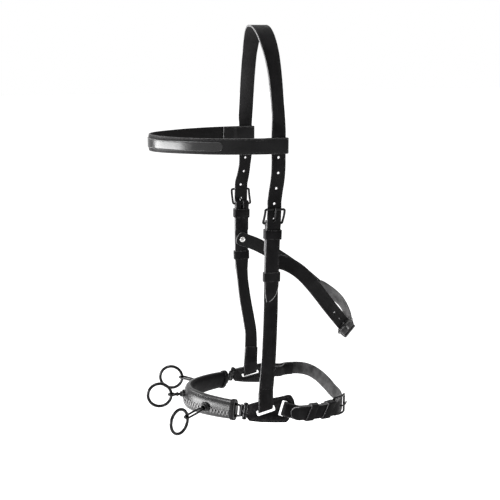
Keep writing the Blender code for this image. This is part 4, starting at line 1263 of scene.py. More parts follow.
@dataclass
class Piece:
    """Base of every sub-assembly, with the bridle's finishes."""

    palette: Palette

    def strap(self, name: str, stations: Sequence[Station], grain: float, body: str, node: str,
              cutters: Sequence[Shape] = (), thick: float = PLAN.thick, skew: tuple[Matrix, float, float] | None = None,
              finishes: Sequence[Material] | None = None) -> None:
        """Build a leather strap with its holes.

        Args:
            name: the piece's name.
            stations: its path.
            grain: which side of the section shows the grain.
            body: the body that it rides on.
            node: the CAD node that it stands for.
            cutters: its holes and slots.
            thick: its thickness.
            skew: the frame, slope and reach of a sloping fold.
            finishes: its materials in the order of Skin, or None for the usual ones.
        """
        bm = grown(stations, strap_section(grain), thick)
        if skew:
            skewed(bm, *skew)
        put(name, punched(bm, name, cutters) if cutters else bm, finishes or self.palette.strap, body, [node])

    def keeper(self, name: str, route: Route, s: float, half_x: float, under: float, play: float, height: float,
               body: str, node: str, slant: float = 0.0) -> None:
        """Build a leather keeper round a stack of straps.

        Args:
            name: the piece's name.
            route: the route that it sits on.
            s: where its middle is.
            half_x: half of its inner width.
            under: lift of the lowest ply that it goes round.
            play: room below that ply and above the billet.
            height: its length along the strap.
            body: the body that it rides on.
            node: the CAD node that it stands for.
            slant: how far it runs along the strap for each millimetre across.
        """
        skin = Growing()
        wall = 1.2
        low = under - PLAN.thick / 2 - play
        high = PLAN.over_ply + PLAN.thick / 2 + play
        corner = min(0.7, (high - low) / 2 - 0.05)
        rims = strap_section(1.0, 1.5)(height, wall)
        for number, (cx, cz, across, up) in enumerate(round_corners(half_x, low, high, corner, 6)):
            places = []
            for rim in rims:
                away = corner + wall / 2 + rim.y
                x = cx + across * away
                places.append(route.on(s + rim.x + x * slant, x, cz + up * away))
            skin.step(places, rims, float(number))
        skin.close()
        skin.paint(rims)
        put(name, skin.bm, self.palette.strap, body, [node])

    def skived_highlight_rim(self, name: str, stations: Sequence[Station], outward: Vector, edge: float) -> None:
        """Draw the pale rim along one edge of a strap's shaped tip: a thinned edge, paler than the grain, made brighter
        as a painted highlight.

        Args:
            name: the piece's name.
            stations: the tip's stations.
            outward: the side that shows the grain.
            edge: 1 or -1, the edge that the rim follows.
        """
        points = []
        path = [station[0] for station in stations]
        for i, (place, across, width) in enumerate(stations):
            normal = chord(path, i).normalized().cross(across).normalized()
            if normal.dot(outward) < 0:
                normal.negate()
            points.append(place + across * (edge * (width / 2 - 0.55)) + normal * (PLAN.thick / 2 - 0.22))
        radii = [0.2] + [0.5] * (len(points) - 2) + [0.2]
        put(name, rod(points, radii, outward, sides=10, flat=0.6), [self.palette.skived_highlight], "bridle")

    def sewn(self, name: str, stitches: Sequence[Shape], body: str) -> None:
        """Put a group of stitches on a body."""
        put(name, merged(stitches), [self.palette.thread], body, sharp=80.0)

    def metal(self, name: str, shape: Shape, body: str, nodes: Sequence[str] = (), sharp: float = 40.0,
              finish: Material | None = None) -> None:
        """Put a metal shape on a body.

        Args:
            name: the piece's name.
            shape: its shape in millimetres.
            body: the body that it rides on.
            nodes: CAD nodes that it stands for.
            sharp: angle in degrees above which an edge is shaded sharp.
            finish: its material, or None for blacked metal.
        """
        put(name, shape, [finish or self.palette.black_metal], body, nodes, sharp)

    def buckled(self, buckle: "Buckle", route: Route, bar: float, body: str, stem: str, end: str = "",
                finish: Material | None = None) -> None:
        """Put a buckle's frame on a body and its tongue on the tongue's own body.

        Args:
            buckle: the buckle.
            route: the strap's route.
            bar: where the bar is.
            body: the body of the frame.
            stem: start of the names.
            end: their ending, for a buckle of one side.
            finish: the frame's material, or None for blacked metal.
        """
        self.metal(stem + "_buckle" + end, buckle.frame_shape(route, bar), body, [stem + "_buckle_frame" + end],
                   finish=finish)
        self.metal(stem + "_tongue" + (end or "_metal"), buckle.tongue_shape(route, bar), stem + "_tongue" + end,
                   [stem + "_buckle_tongue" + end])


@dataclass(frozen=True)
class Buckle:
    """A flat buckle: a frame with its bar at the strap's end, and a tongue round the bar."""

    width: float = 29.0
    corner: float = 2.0
    tongue_wire: float = 2.2
    swell: float = 1.07

    def frame_shape(self, route: Route, s: float) -> Shape:
        """Build the frame.

        Args:
            route: the strap's route.
            s: where the bar is.

        Returns:
            The frame's shape, with its free end standing proud.
        """
        outline = [(x + self.corner * across, y + self.corner * up) for x, y, across, up in round_corners(
            self.width / 2 - PLAN.wire / 2, -PLAN.reach, 0.0, self.corner, 8)]
        points = []
        for (x0, y0), (x1, y1) in zip(outline, outline[1:] + outline[:1]):
            count = max(1, int(hypot(x1 - x0, y1 - y0) / 2.0))
            for k in range(count):
                y = y0 + (y1 - y0) * k / count
                up = min(max(-y / PLAN.reach, 0.0), 1.0)
                lift = PLAN.rise * sin(up * pi / 2) ** 1.15
                points.append(route.on(s + y, x0 + (x1 - x0) * k / count, lift))
        radii = [PLAN.wire / 2 * self.swell] * len(points)
        return rod(points, radii, route.at(s)[3], closed=True, flat=0.98)

    def tongue_shape(self, route: Route, s: float) -> Shape:
        """Build the tongue.

        Args:
            route: the strap's route.
            s: where the bar is.

        Returns:
            The tongue's shape: an eye round the bar and a tapered shank.
        """
        eye = PLAN.wire / 2 + PLAN.gap + self.tongue_wire / 2
        top = PLAN.rise + PLAN.wire / 2 + self.tongue_wire / 2 + PLAN.gap
        angles = [radians(95 - 290 * k / 21) for k in range(22)]
        profile = [(eye * cos(angle), eye * sin(angle)) for angle in angles]
        shank = [(-3.2, 2.6), (-4.6, 4.4), (-6.3, 6.2), (-6.9, 8.0), (-8.6, 10.1), (-12.0, 11.6)]
        shank += [(-PLAN.reach, top + 0.3), (-PLAN.reach - 2.6, top + 0.5)]
        knots = [Vector((y, z, 0.0)) for y, z in profile[-1:] + shank]
        for spot in curve(knots, (0.25, 0.5, 0.75, 1.0)):
            profile.append((spot.x, spot.y))
        points = [route.on(s + y, 0.0, z) for y, z in profile]
        point = [share * self.tongue_wire / 2 for share in (0.98, 0.92, 0.78, 0.55)]
        radii = [self.tongue_wire / 2] * (len(points) - len(point)) + point
        return rod(points, radii, route.at(s)[2], sides=14)


# ---- headpiece and cheeks


@dataclass
class Headpiece(Piece):
    """One strap over the poll with a punched billet at each end."""

    widths: tuple[tuple[Pair, ...], ...] = (
        ((1.3, 24.0), (-18.0, 24.0), (-134.0, 18.8)),
        ((1.3, 24.0), (-12.0, 22.4), (-34.0, 20.0), (-124.0, 19.8), (-136.0, 18.8)),
    )
    billet_length: float = 105.0
    hole_size: float = 3.4
    pitch: float = 20.0
    last_hole: float = 3.0
    tip_lift: Pair = (0.0, 0.9)

    def width_at(self, side: Side, z: float) -> float:
        """Width of the headpiece at a height."""
        table = side.pick(*self.widths)
        for (z0, w0), (z1, w1) in zip(table, table[1:]):
            if z >= z1:
                return w0 + (w1 - w0) * min(1.0, max(0.0, (z0 - z) / (z0 - z1)))
        return table[-1][1]

    def build(self) -> None:
        """Build the headpiece with its holes."""
        stations: list[Station] = []
        cutters = []
        start = 2.0
        steps = 110
        for side in Side:
            crown = PLAN.crown(side)
            cheek = PLAN.cheek(side)
            half = []
            for k in range(steps):
                place, _, across, _ = crown.at(start + (crown.length - start) * k / steps)
                half.append((place, across, self.width_at(side, place.z)))
            marks = billet(0.0, [], self.billet_length, PLAN.billet_width, side.pick(*self.tip_lift))
            lean = float(side.value)
            half += slanted_tip(cheek, marks, 24.0, lean)
            if side is Side.NEAR:
                self.skived_highlight_rim("headpiece_tip_near", half[-16:-1], cheek.at(self.billet_length)[3], -lean)
            stations = list(reversed(half)) if side is Side.NEAR else stations + half
            last = crown.length + self.last_hole
            cutters += [hole(crown.frame(last - self.pitch * count), self.hole_size / 2) for count in range(4)]
            cutters.append(tongue_hole(cheek, 0.0, 1.6, -2.9, 2.9))
        self.strap("headpiece_leather", stations, 1.0, "bridle", "headpiece", cutters)


def billet(bar: float, start: list[Mark], stop: float, width: float, tip: float = 0.0) -> list[Mark]:
    """Marks of a strap end that goes under a frame, over its bar and down the outside.

    Args:
        bar: where the buckle bar is.
        start: marks before the buckle.
        stop: where the tip is.
        width: the strap's width.
        tip: how far the tip stands off.

    Returns:
        The marks, up to the tip.
    """
    marks = start + [
        (bar - 30.0, PLAN.billet_lift, width),
        (bar - 21.0, PLAN.over_bar + 0.05, width),
        (bar, PLAN.over_bar + 0.05, width),
        (bar + 8.0, PLAN.over_ply + 0.5, width),
        (bar + 14.0, PLAN.over_ply, width),
        (stop - 25.0, PLAN.over_ply, width),
        (stop - 10.0, PLAN.over_ply + tip, width),
        (stop, PLAN.over_ply + tip, width),
    ]
    return blend(marks)


def swayed(route: Route, marks: Sequence[Mark], reach: Pair, turn: float, sway: float = 0.0) -> list[Station]:
    """Lay a strap that turns on its run and bows up and back between two places.

    Args:
        route: the strap's route.
        marks: its marks.
        reach: where the turn begins and ends.
        turn: its greatest turn in degrees.
        sway: how far it bows.

    Returns:
        The stations.
    """
    first, last = reach
    shaped = []
    for (s, _, _), (place, across, width) in zip(marks, route.lay(marks)):
        share = min(1.0, max(0.0, (s - first) / (last - first)))
        swell = sin(pi * share) ** 1.3 if 0.0 < share < 1.0 else 0.0
        spin = Matrix.Rotation(radians(turn * swell), 3, route.at(s)[1])
        shaped.append((place + Vector((0.0, 0.73, 0.68)) * sway * swell, spin @ across, width))
    return shaped


def slanted_tip(route: Route, marks: Sequence[Mark], length: float, lean: float, skew: float = 0.8
                ) -> list[Station]:
    """Shape a strap's free end as a curve that runs further down one edge.

    Args:
        route: the strap's route.
        marks: the marks up to the tip, where the last one is the tip.
        length: how long the shaped end is.
        lean: 1 or -1, the edge that the tip is at.
        skew: how far the tip goes to that edge, from 0 to 1.

    Returns:
        The stations.
    """
    s_tip, lift, full = marks[-1]
    stations = route.lay([m for m in marks if s_tip - m[0] > length + 0.5])
    steps = 16
    for k in range(steps + 1):
        eased, share = tapered(k / steps, 0.10)
        s = s_tip - length * (1 - eased)
        near_lift = lift if s > s_tip - 10.0 else lift_at(marks, s)
        place, _, across, side = route.at(s)
        shift_over = lean * skew * full / 2 * (1 - share)
        stations.append((place + side * near_lift + across * shift_over, across, full * share))
    return stations


def lift_at(marks: Sequence[Mark], s: float) -> float:
    """Lift of a run of marks at a distance along it."""
    for (s0, n0, _), (s1, n1, _) in zip(marks, marks[1:]):
        if s0 <= s <= s1:
            return n0 + (n1 - n0) * (s - s0) / max(s1 - s0, 0.001)
    return marks[-1][1]


def chape(bar: float, inner: float, width: float, onward: list[Mark]) -> list[Mark]:
    """Marks of a strap that carries a buckle: turned back round the bar, then on along the route.

    Args:
        bar: where the buckle bar is.
        inner: length of the turned-back ply.
        width: the strap's width.
        onward: marks after the buckle.

    Returns:
        The marks.
    """
    ply = PLAN.ply
    round_bar = PLAN.bar_fold
    marks = [(bar + inner, -ply, width), (bar + 9.0, -ply, width), (bar + 3.0, -round_bar + 0.2, width)]
    marks += fold(bar, round_bar, width, -90, -180)
    marks += [(bar + 3.0, round_bar - 0.2, width), (bar + 9.0, ply, width)]
    return blend(marks[:2]) + marks[2:-1] + blend(marks[-1:] + onward)


def through_slot(bar: float, inner: float, width: float, end: float, drops: Triple) -> list[Mark]:
    """Marks of a strap from its buckle through a plate's slot and back behind itself.

    Args:
        bar: where the buckle bar is.
        inner: length of the turned-back ply at the bar.
        width: the strap's width.
        end: where the slot is.
        drops: how far before the slot its plies part, lie flat and end.

    Returns:
        The marks.
    """
    ply, turn = PLAN.ply, PLAN.plate_fold
    part, flat, last = (end - drop for drop in drops)
    marks = chape(bar, inner, width, [(flat, ply, width), (part, turn, width), (end, turn, width)])
    marks += fold(end, turn, width, 90, -180)[1:]
    return marks + blend([(part, -turn, width), (flat, -ply, width), (last, -ply, width)])


def tongue_slot(route: Route, bar: float) -> Shape:
    """Cutter for the slot that a tongue needs in its turned-back strap."""
    bm = slab(route.frame(bar), 1.9, -6.0, 8.0, 6.0, 1.6)
    ops.translate(bm, vec=route.at(bar)[3] * -1.0, verts=bm.verts)
    return bm


def tongue_hole(route: Route, bar: float, half: float = 1.7, first: float = -4.2, last: float = 3.2) -> Shape:
    """Cutter for the hole that a tongue goes through in the strap over its bar."""
    return slab(route.frame(bar - 5.8, PLAN.over_bar), half, first, last, PLAN.thick, 1.2)


@dataclass
class Cheekpiece(Piece):
    """A cheekpiece with its buckle, tongue, keepers and throat-strap rivet."""

    side: Side
    width: float = 19.4
    runner_drop: Pair = (71.0, 77.0)
    keeper_height: float = 12.5
    keeper_drop: float = 14.2
    buckle: Buckle = Buckle()

    def build(self) -> None:
        """Build everything from the cheek buckle down to the side plate."""
        end_name = "_" + self.side.label
        route = PLAN.cheek(self.side)
        end = route.length
        marks = through_slot(0.0, PLAN.chape, self.width, end, (19.0, 27.0, 42.0))
        rivet = PLAN.rivet(self.side)
        skew = (route.frame(end), tan(radians(PLAN.loop_slope)) * self.side.value, 34.0)
        self.strap("cheek_leather" + end_name, route.lay(marks), -1.0, "bridle", "cheekpiece" + end_name,
                   [tongue_slot(route, 0.0), peg(rivet, 2.2, -1.0, 4.0)], skew=skew)
        self.buckled(self.buckle, route, 0.0, "bridle", "cheek", end_name)
        half = self.width / 2 + PLAN.slack
        self.keeper("cheek_keeper" + end_name, route, self.keeper_drop, half, -PLAN.ply, 2 * PLAN.slack,
                    self.keeper_height, "bridle", "cheek_fixed_keeper" + end_name)
        runner = "cheek_runner" + end_name
        self.keeper("cheek_slide" + end_name, route, self.side.pick(*self.runner_drop), half, PLAN.ply, PLAN.slack,
                    self.keeper_height, runner, runner)
        self.rivet(rivet, end_name)
        self.stitches(route, end_name)

    def rivet(self, place: Matrix, end_name: str) -> None:
        """Build the domed rivet of the throat strap."""
        head = -PLAN.ply - PLAN.thick / 2 - PLAN.gap
        steps = 8
        angles = [radians(90 * k / steps) for k in range(1, steps + 1)]
        outline = [(0.0, head - 1.6)] + [(4.0 * sin(a), head - 0.5 - 1.1 * cos(a)) for a in angles]
        outline += [(4.0, head), (1.9, head), (1.9, -head - 0.6 - PLAN.gap)]
        put("throat_stud" + end_name, lathe(place, outline), [self.palette.nickel], "bridle",
            ["throat_rivet" + end_name], 35.0)

    def stitches(self, route: Route, end_name: str) -> None:
        """Sew the turned-back ends of the cheekpiece."""
        surface = PLAN.seam_lift
        x = self.width / 2 - PLAN.seam_inset
        end = route.length
        sewn = []
        for across in (-x, x):
            sewn += STITCH.row(route, 22.5, PLAN.chape - 2.0, across, surface)
            for face in (surface, -surface):
                sewn += STITCH.row(route, end - 40.0, end - 28.0, across, face)
        sewn += STITCH.across(route, end - 27.0, x - 1.5, surface)
        self.sewn("cheek_stitching" + end_name, sewn, "bridle")


# ---- browband


@dataclass
class Browband(Piece):
    """Browband with a turned loop at each end and a glossy raised panel in front."""

    height: float = 20.4
    swell: float = 1.6
    thick: float = 2.5
    panel_height: float = 12.5
    panel_depth: float = 1.8
    panel_reach: float = 116.0

    def build(self) -> None:
        """Build the band, its panel and its stitching."""
        route = PLAN.brow()
        end = route.length
        h = self.height
        loop = PLAN.brow_loop
        butt = -self.thick - PLAN.gap
        leg = PLAN.billet_width + 1.6
        start = blend([(leg + 22.0, butt, h), (leg + 8.0, butt, h), (leg + 1.2, -2 * loop, h), (0.0, -2 * loop, h)])
        turn = [(s, lift - loop, w) for s, lift, w in fold(0.0, loop, h, -90, -180)]
        widths = ((0.0, h), (0.3, h), (0.5, h + self.swell), (0.7, h), (1.0, h))
        front = blend([(end * share, 0.0, width) for share, width in widths], 3.0)
        marks = start[:-1] + turn + front[1:-1] + [(end - s, lift, w) for s, lift, w in reversed(turn)]
        marks += [(end - s, lift, w) for s, lift, w in reversed(start[:-1])]
        self.strap("browband_leather", route.lay(marks), -1.0, "browband", "browband", thick=self.thick,
                   finishes=self.palette.brow_strap)
        self.panel(route)
        surface = self.thick / 2 + 0.05
        sewn = []
        for x in (-1, 1):
            row = x * (self.panel_height / 2 + 1.75)
            sewn += STITCH.row(route, end / 2 - self.panel_reach, end / 2 + self.panel_reach, row, surface)
            for first, last in ((24.0, 40.0), (end - 40.0, end - 24.0)):
                sewn += STITCH.row(route, first, last, x * (h / 2 - 3.0), surface)
        self.sewn("browband_stitching", sewn, "browband")

    def panel(self, route: Route) -> None:
        """Build the raised panel, which sinks into the band towards both ends."""
        middle = route.length / 2
        lift = self.thick / 2 + 0.15
        steps = 120
        marks = []
        for k in range(steps + 1):
            t = 2 * k / steps - 1
            round_off = min(1.0, (1 - abs(t)) / 0.05)
            tip = max(0.3, sqrt(max(0.0, 1 - (1 - round_off) ** 2)))
            sink = max(0.0, (abs(t) - 0.66) / 0.34) ** 1.4 * self.panel_depth * 0.8
            marks.append((middle + self.panel_reach * t, lift - sink, self.panel_height * tip))
        shape = grown(route.lay(marks), self.panel_section, self.panel_depth)
        put("browband_gloss", shape, [self.palette.patent] * 3, "browband", ["browband_panel"], 50.0)

    @staticmethod
    def panel_section(width: float, thick: float) -> list[Rim]:
        """Points round the panel: flat behind, crowned in front with a bead along each edge.

        Args:
            width: the panel's height.
            thick: how far it stands out.

        Returns:
            The section's points.
        """
        w = width / 2
        points = [(-w, 0.0), (0.0, 0.0), (w, 0.0)]
        front = [(1.0, 0.25), (0.985, 0.60), (0.945, 0.84), (0.90, 0.90), (0.86, 0.82), (0.82, 0.74), (0.76, 0.765)]
        front += [(0.6, 0.78), (0.3, 0.788), (0.1, 0.79)]
        points += [(w * x, -thick * y) for x, y in front]
        points += [(-w * x, -thick * y) for x, y in reversed(front)]
        return [Rim(x, y, Skin.GRAIN, 0.6 if abs(x) > w * 0.8 else 0.0) for x, y in points]


# ---- throat strap


@dataclass
class ThroatStrap(Piece):
    """Throat strap in two halves, buckled low at the back."""

    width: float = 19.4
    bar: float = 178.0
    overhang: float = 8.5
    near_end: float = 58.0
    keeper_drop: float = 14.2
    keeper_height: float = 10.5
    sway: float = 8.5
    turn: float = -52.0
    buckle: Buckle = Buckle()

    def build(self) -> None:
        """Build both halves, the buckle and the keeper."""
        route = PLAN.throat()
        body = "throat_strap"
        w = self.width
        bar = self.bar
        start = [(-self.overhang, 0.0, w), (20.0, 0.0, w), (bar - 70.0, 0.0, w)]
        marks = billet(bar, start, bar + self.near_end, w)
        stations = rounded_start(route, marks[0], 6.0, slanted_tip(route, marks, 9.0, 1.0, 0.0)[1:])
        cutters = [tongue_hole(route, bar), peg(PLAN.rivet(Side.NEAR), 2.3, -6.0, 4.0)]
        for s in (bar - 20.5, bar - 34.0, bar - 47.5):
            cutters.append(hole(route.frame(s, lift_at(marks, s)), 1.5))
        # The flesh side of these finishes carries painted light.
        jaw = self.palette.jaw_strap
        self.strap("throat_leather_near", stations, -1.0, body, "throat_strap_near", cutters, finishes=jaw)
        end = route.length
        tail = [(bar + 60.0, PLAN.ply, w), (end - 60.0, 0.0, w), (end, 0.0, w), (end + self.overhang, 0.0, w)]
        far = chape(bar, 34.0, w, tail)
        stations = swayed(route, far[:-60], (bar + 8.0, bar + 122.0), self.turn, self.sway)
        stations += slanted_tip(route, far[-60:], 6.0, 1.0, 0.0)
        cutters = [tongue_slot(route, bar), peg(PLAN.rivet(Side.FAR), 2.3, -6.0, 4.0)]
        self.strap("throat_leather_far", stations, -1.0, body, "throat_strap_far", cutters, finishes=jaw)
        # The frame takes the grey painted-glint metal.
        self.buckled(self.buckle, route, bar, body, "throat", finish=self.palette.painted_glint_metal)
        self.keeper("throat_keeper_leather", route, bar + self.keeper_drop, w / 2 + PLAN.slack, -PLAN.ply,
                    2 * PLAN.slack, self.keeper_height, body, "throat_keeper")
        sewn = []
        for x in (-w / 2 + PLAN.seam_inset, w / 2 - PLAN.seam_inset):
            sewn += STITCH.row(route, bar + 21.0, bar + 33.0, x, -PLAN.seam_lift)
        self.sewn("throat_stitching", sewn, body)


def rounded_start(route: Route, mark: Mark, length: float, rest: Sequence[Station]) -> list[Station]:
    """Round off a strap's first end.

    Args:
        route: the strap's route.
        mark: the mark at the end.
        length: how long the rounded stretch is.
        rest: the strap's other stations; those in the rounded stretch are left out.

    Returns:
        All of the strap's stations.
    """
    s0, lift, full = mark
    stations = []
    steps = 10
    for k in range(steps + 1):
        eased, share = tapered(1 - k / steps, 0.12)
        place, _, across, side = route.at(s0 + length * (1 - eased))
        stations.append((place + side * lift, across, full * share))
    edge = route.at(s0 + length + 1.0)[0]
    run = route.at(s0)[1]
    return stations + [s for s in rest if (s[0] - edge).dot(run) > 0 or s[0].y > edge.y + 4.0]


# ---- noseband


@dataclass
class Nosepiece(Piece):
    """Padded nosepiece over a steel plate, laced along its lower front, with capped ends."""

    height: float = 26.0
    swell: float = 4.5
    cap_length: float = 5.5
    cap_wall: float = 1.3
    core_height: float = 19.0
    core_depth: float = 2.4
    end_trim: float = 6.5
    window: Pair = (-0.4, 4.9)
    window_half: float = 6.2
    bead: float = 2.4
    bead_half: float = 8.2
    knuckle: float = 2.9
    knuckle_half: float = 3.3
    seam: float = -4.6
    seam_half: float = 4.4
    lace_pitch: float = 4.6

    def size_at(self, s: float, length: float) -> float:
        """Height of the nosepiece at a distance along it."""
        return self.height + self.swell * (1 - abs(2 * s / length - 1) ** 1.5)

    def surface(self, route: Route, s: float, v: float, proud: float) -> Matrix:
        """Frame on the nosepiece's outer face.

        Args:
            route: the nosepiece's route.
            s: distance along it.
            v: height above its middle.
            proud: distance off the face.

        Returns:
            A frame with x along the route, y up the face and z off it.
        """
        w = self.size_at(s, route.length) / 2
        t = PLAN.nose_depth / 2
        probe = 0.4

        def face(height: float) -> Vector:
            """Point of the outer face at a height."""
            angle = acos(min(1.0, abs(height) / w) ** 1.25)
            return route.on(s, height, t * sin(angle) ** 0.8)

        up = (face(v + probe) - face(v - probe)).normalized()
        _, run, _, side = route.at(s)
        out = up.cross(run).normalized() * -1.0
        if out.dot(side) < 0:
            out.negate()
        return axes(up.cross(out), up, out, face(v) + out * proud)

    def cover(self, route: Route) -> None:
        """Build the padded cover, drawn in along its laced seam."""
        end = route.length
        skin = Growing()
        count = 48
        steps = 130
        t = PLAN.nose_depth / 2
        rims: list[Rim] = []
        for k in range(steps + 1):
            s = self.end_trim + (end - 2 * self.end_trim) * k / steps
            w = self.size_at(s, end) / 2
            ripple = 0.5 + 0.5 * cos(tau * s / self.lace_pitch)
            rims = []
            for n in range(count):
                x, y = puffed(tau * n / count)
                x, y = x * w, y * t
                pucker = 0.0
                if y > 0:
                    near_seam = exp(-((x - self.seam) / 1.7) ** 2)
                    rim_seam = exp(-((abs(x - self.seam) - self.seam_half) / 1.0) ** 2)
                    pucker = 0.45 * near_seam + 0.35 * rim_seam * ripple
                face = Skin.GRAIN if y > -0.1 else Skin.FLESH
                rims.append(Rim(x, y - pucker, face, 0.3 if pucker > 0.25 else 0.0))
            skin.step([route.on(s, rim.x, rim.y) for rim in rims], rims, s)
        skin.paint(rims)
        skin.cap_ends()
        cutters = [peg(PLAN.stud(stud), 7.0, -1.0, 8.0, 40) for stud in Stud]
        mesh = punched(skin.bm, "nosepiece_padding", cutters + [self.mouth(route)])
        materials = [self.palette.padding, self.palette.edge, self.palette.lining]
        put("nosepiece_padding", mesh, materials, "bridle", ["nosepiece_cover"])

    def mouth(self, route: Route) -> Shape:
        """Cutter for the space that the steel plate takes inside the cover."""
        high = self.core_height / 2 + PLAN.gap
        deep = self.core_depth / 2 + PLAN.gap
        rims = [Rim(x, y) for x, y in ((-high, -deep), (high, -deep), (high, deep), (-high, deep))]
        skin = Growing()
        steps = 64
        for k in range(steps + 1):
            s = -2.0 + (route.length + 4.0) * k / steps
            skin.step([route.on(s, rim.x, rim.y) for rim in rims], rims, s)
        skin.cap_ends()
        return skin.bm

    def lacing(self, route: Route) -> None:
        """Lace the seam with crossed strips of leather, whose pale grey is a painted highlight on the strands."""
        end = route.length
        studs = [end / 2 + stud.value * PLAN.stud_spread for stud in Stud]
        strip = Stitching(length=self.seam_half * 2 + 1.6, width=1.7, height=1.0)
        strips = []
        margin = self.end_trim + self.cap_length + 0.4
        count = int((end - 2 * margin) / self.lace_pitch)
        for k in range(count):
            s = margin + (end - 2 * margin) * (k + 0.5) / count
            if min(abs(s - stud) for stud in studs) >= 8.8:
                for angle, proud in ((27.0, 0.10), (-27.0, 0.42)):
                    strips.append(strip.one(self.surface(route, s, self.seam, proud) @ turned(angle, "Z")))
        put("nosepiece_lacing", merged(strips), [self.palette.lace], "bridle", sharp=80.0)

    def caps(self, route: Route) -> None:
        """Build the dark caps over the nosepiece's ends."""
        t = PLAN.nose_depth / 2
        count = 48
        inset = self.end_trim + self.cap_length / 2 - 0.6
        rims = strap_section(1.0, 1.0)(self.cap_length, self.cap_wall)
        for side, spot in ((Side.NEAR, inset), (Side.FAR, route.length - inset)):
            skin = Growing()
            for n in range(count):
                across, up = puffed(tau * n / count)
                places = []
                for rim in rims:
                    away = PLAN.gap + self.cap_wall / 2 + rim.y
                    places.append(route.on(spot + rim.x, across * (self.height / 2 + away), up * (t + away)))
                skin.step(places, rims, float(n))
            skin.close()
            skin.paint(rims)
            put("nosepiece_cap_" + side.label, skin.bm, [self.palette.grain] * 3, "bridle",
                ["nose_end_cap_" + side.label])

    def steel(self, route: Route) -> None:
        """Build the steel plate that runs through the cover to a windowed tab and a hinge knuckle at each end."""
        end = route.length
        high = self.core_height
        marks = [(-3.2, 0.0, high - 3.0), (-1.0, 0.0, high - 2.0)]
        marks += [(end * k / 48, 0.0, high) for k in range(1, 48)]
        marks += [(end + 1.0, 0.0, high - 2.0), (end + 3.2, 0.0, high - 3.0)]
        plate = grown(route.lay(marks), self.bar_section, self.core_depth)
        shapes = []
        cutters = []
        k, h = self.knuckle, self.knuckle_half
        b, t = self.bead, self.bead_half
        for side, first, way in ((Side.NEAR, 0.0, 1.0), (Side.FAR, end, -1.0)):
            low, far = sorted(first + way * edge for edge in self.window)
            middle = (low + far) / 2
            cutters.append(slab(route.frame(middle), self.window_half, low - middle, far - middle, 4.0, 1.2))
            tab = [(first - way * reach, 0.0, h * 2) for reach in (2.6, 7.0)]
            shapes.append(grown(route.lay(tab), self.bar_section, self.core_depth))
            pin = PLAN.hinge(side)
            shapes.append(lathe(pin, [(k - 0.3, -h), (k, -h + 0.3), (k, h - 0.3), (k - 0.3, h)], 36))
            back = pin.inverted() @ route.at(first - way * 3.3)[0]
            outline = [(b * 0.6, -t), (b, -t + 0.7), (b, t - 0.7), (b * 0.6, t)]
            shapes.append(lathe(pin @ shift(back.x, back.y, 0.0), outline, 28))
        core = punched(plate, "nosepiece_steel", cutters)
        whole = merged(shapes)
        ops.scale(whole, vec=Vector((MM, MM, MM)), verts=whole.verts)
        whole.from_mesh(core)
        for face in whole.faces:
            face.material_index = 0
        shaded(whole, 35.0)
        whole.to_mesh(core)
        whole.free()
        put("nosepiece_steel", core, [self.palette.black_metal], "bridle", ["nose_plate"])

    @staticmethod
    def bar_section(width: float, thick: float) -> list[Rim]:
        """Points round a flat steel bar with rounded edges."""
        w, t, r = width / 2, thick / 2, 0.7
        corner = [(w, -t + r), (w, t - r), (w - r * 0.3, t - r * 0.3), (w - r, t)]
        corner += [(-w + r, t), (-w + r * 0.3, t - r * 0.3), (-w, t - r), (-w, -t + r)]
        corner += [(-w + r * 0.3, -t + r * 0.3), (-w + r, -t), (w - r, -t), (w - r * 0.3, -t + r * 0.3)]
        return [Rim(x, y) for x, y in corner]

    def build(self) -> None:
        """Build the steel, the cover, its lacing and its caps."""
        route = PLAN.nose()
        for part in (self.steel, self.cover, self.lacing, self.caps):
            part(route)


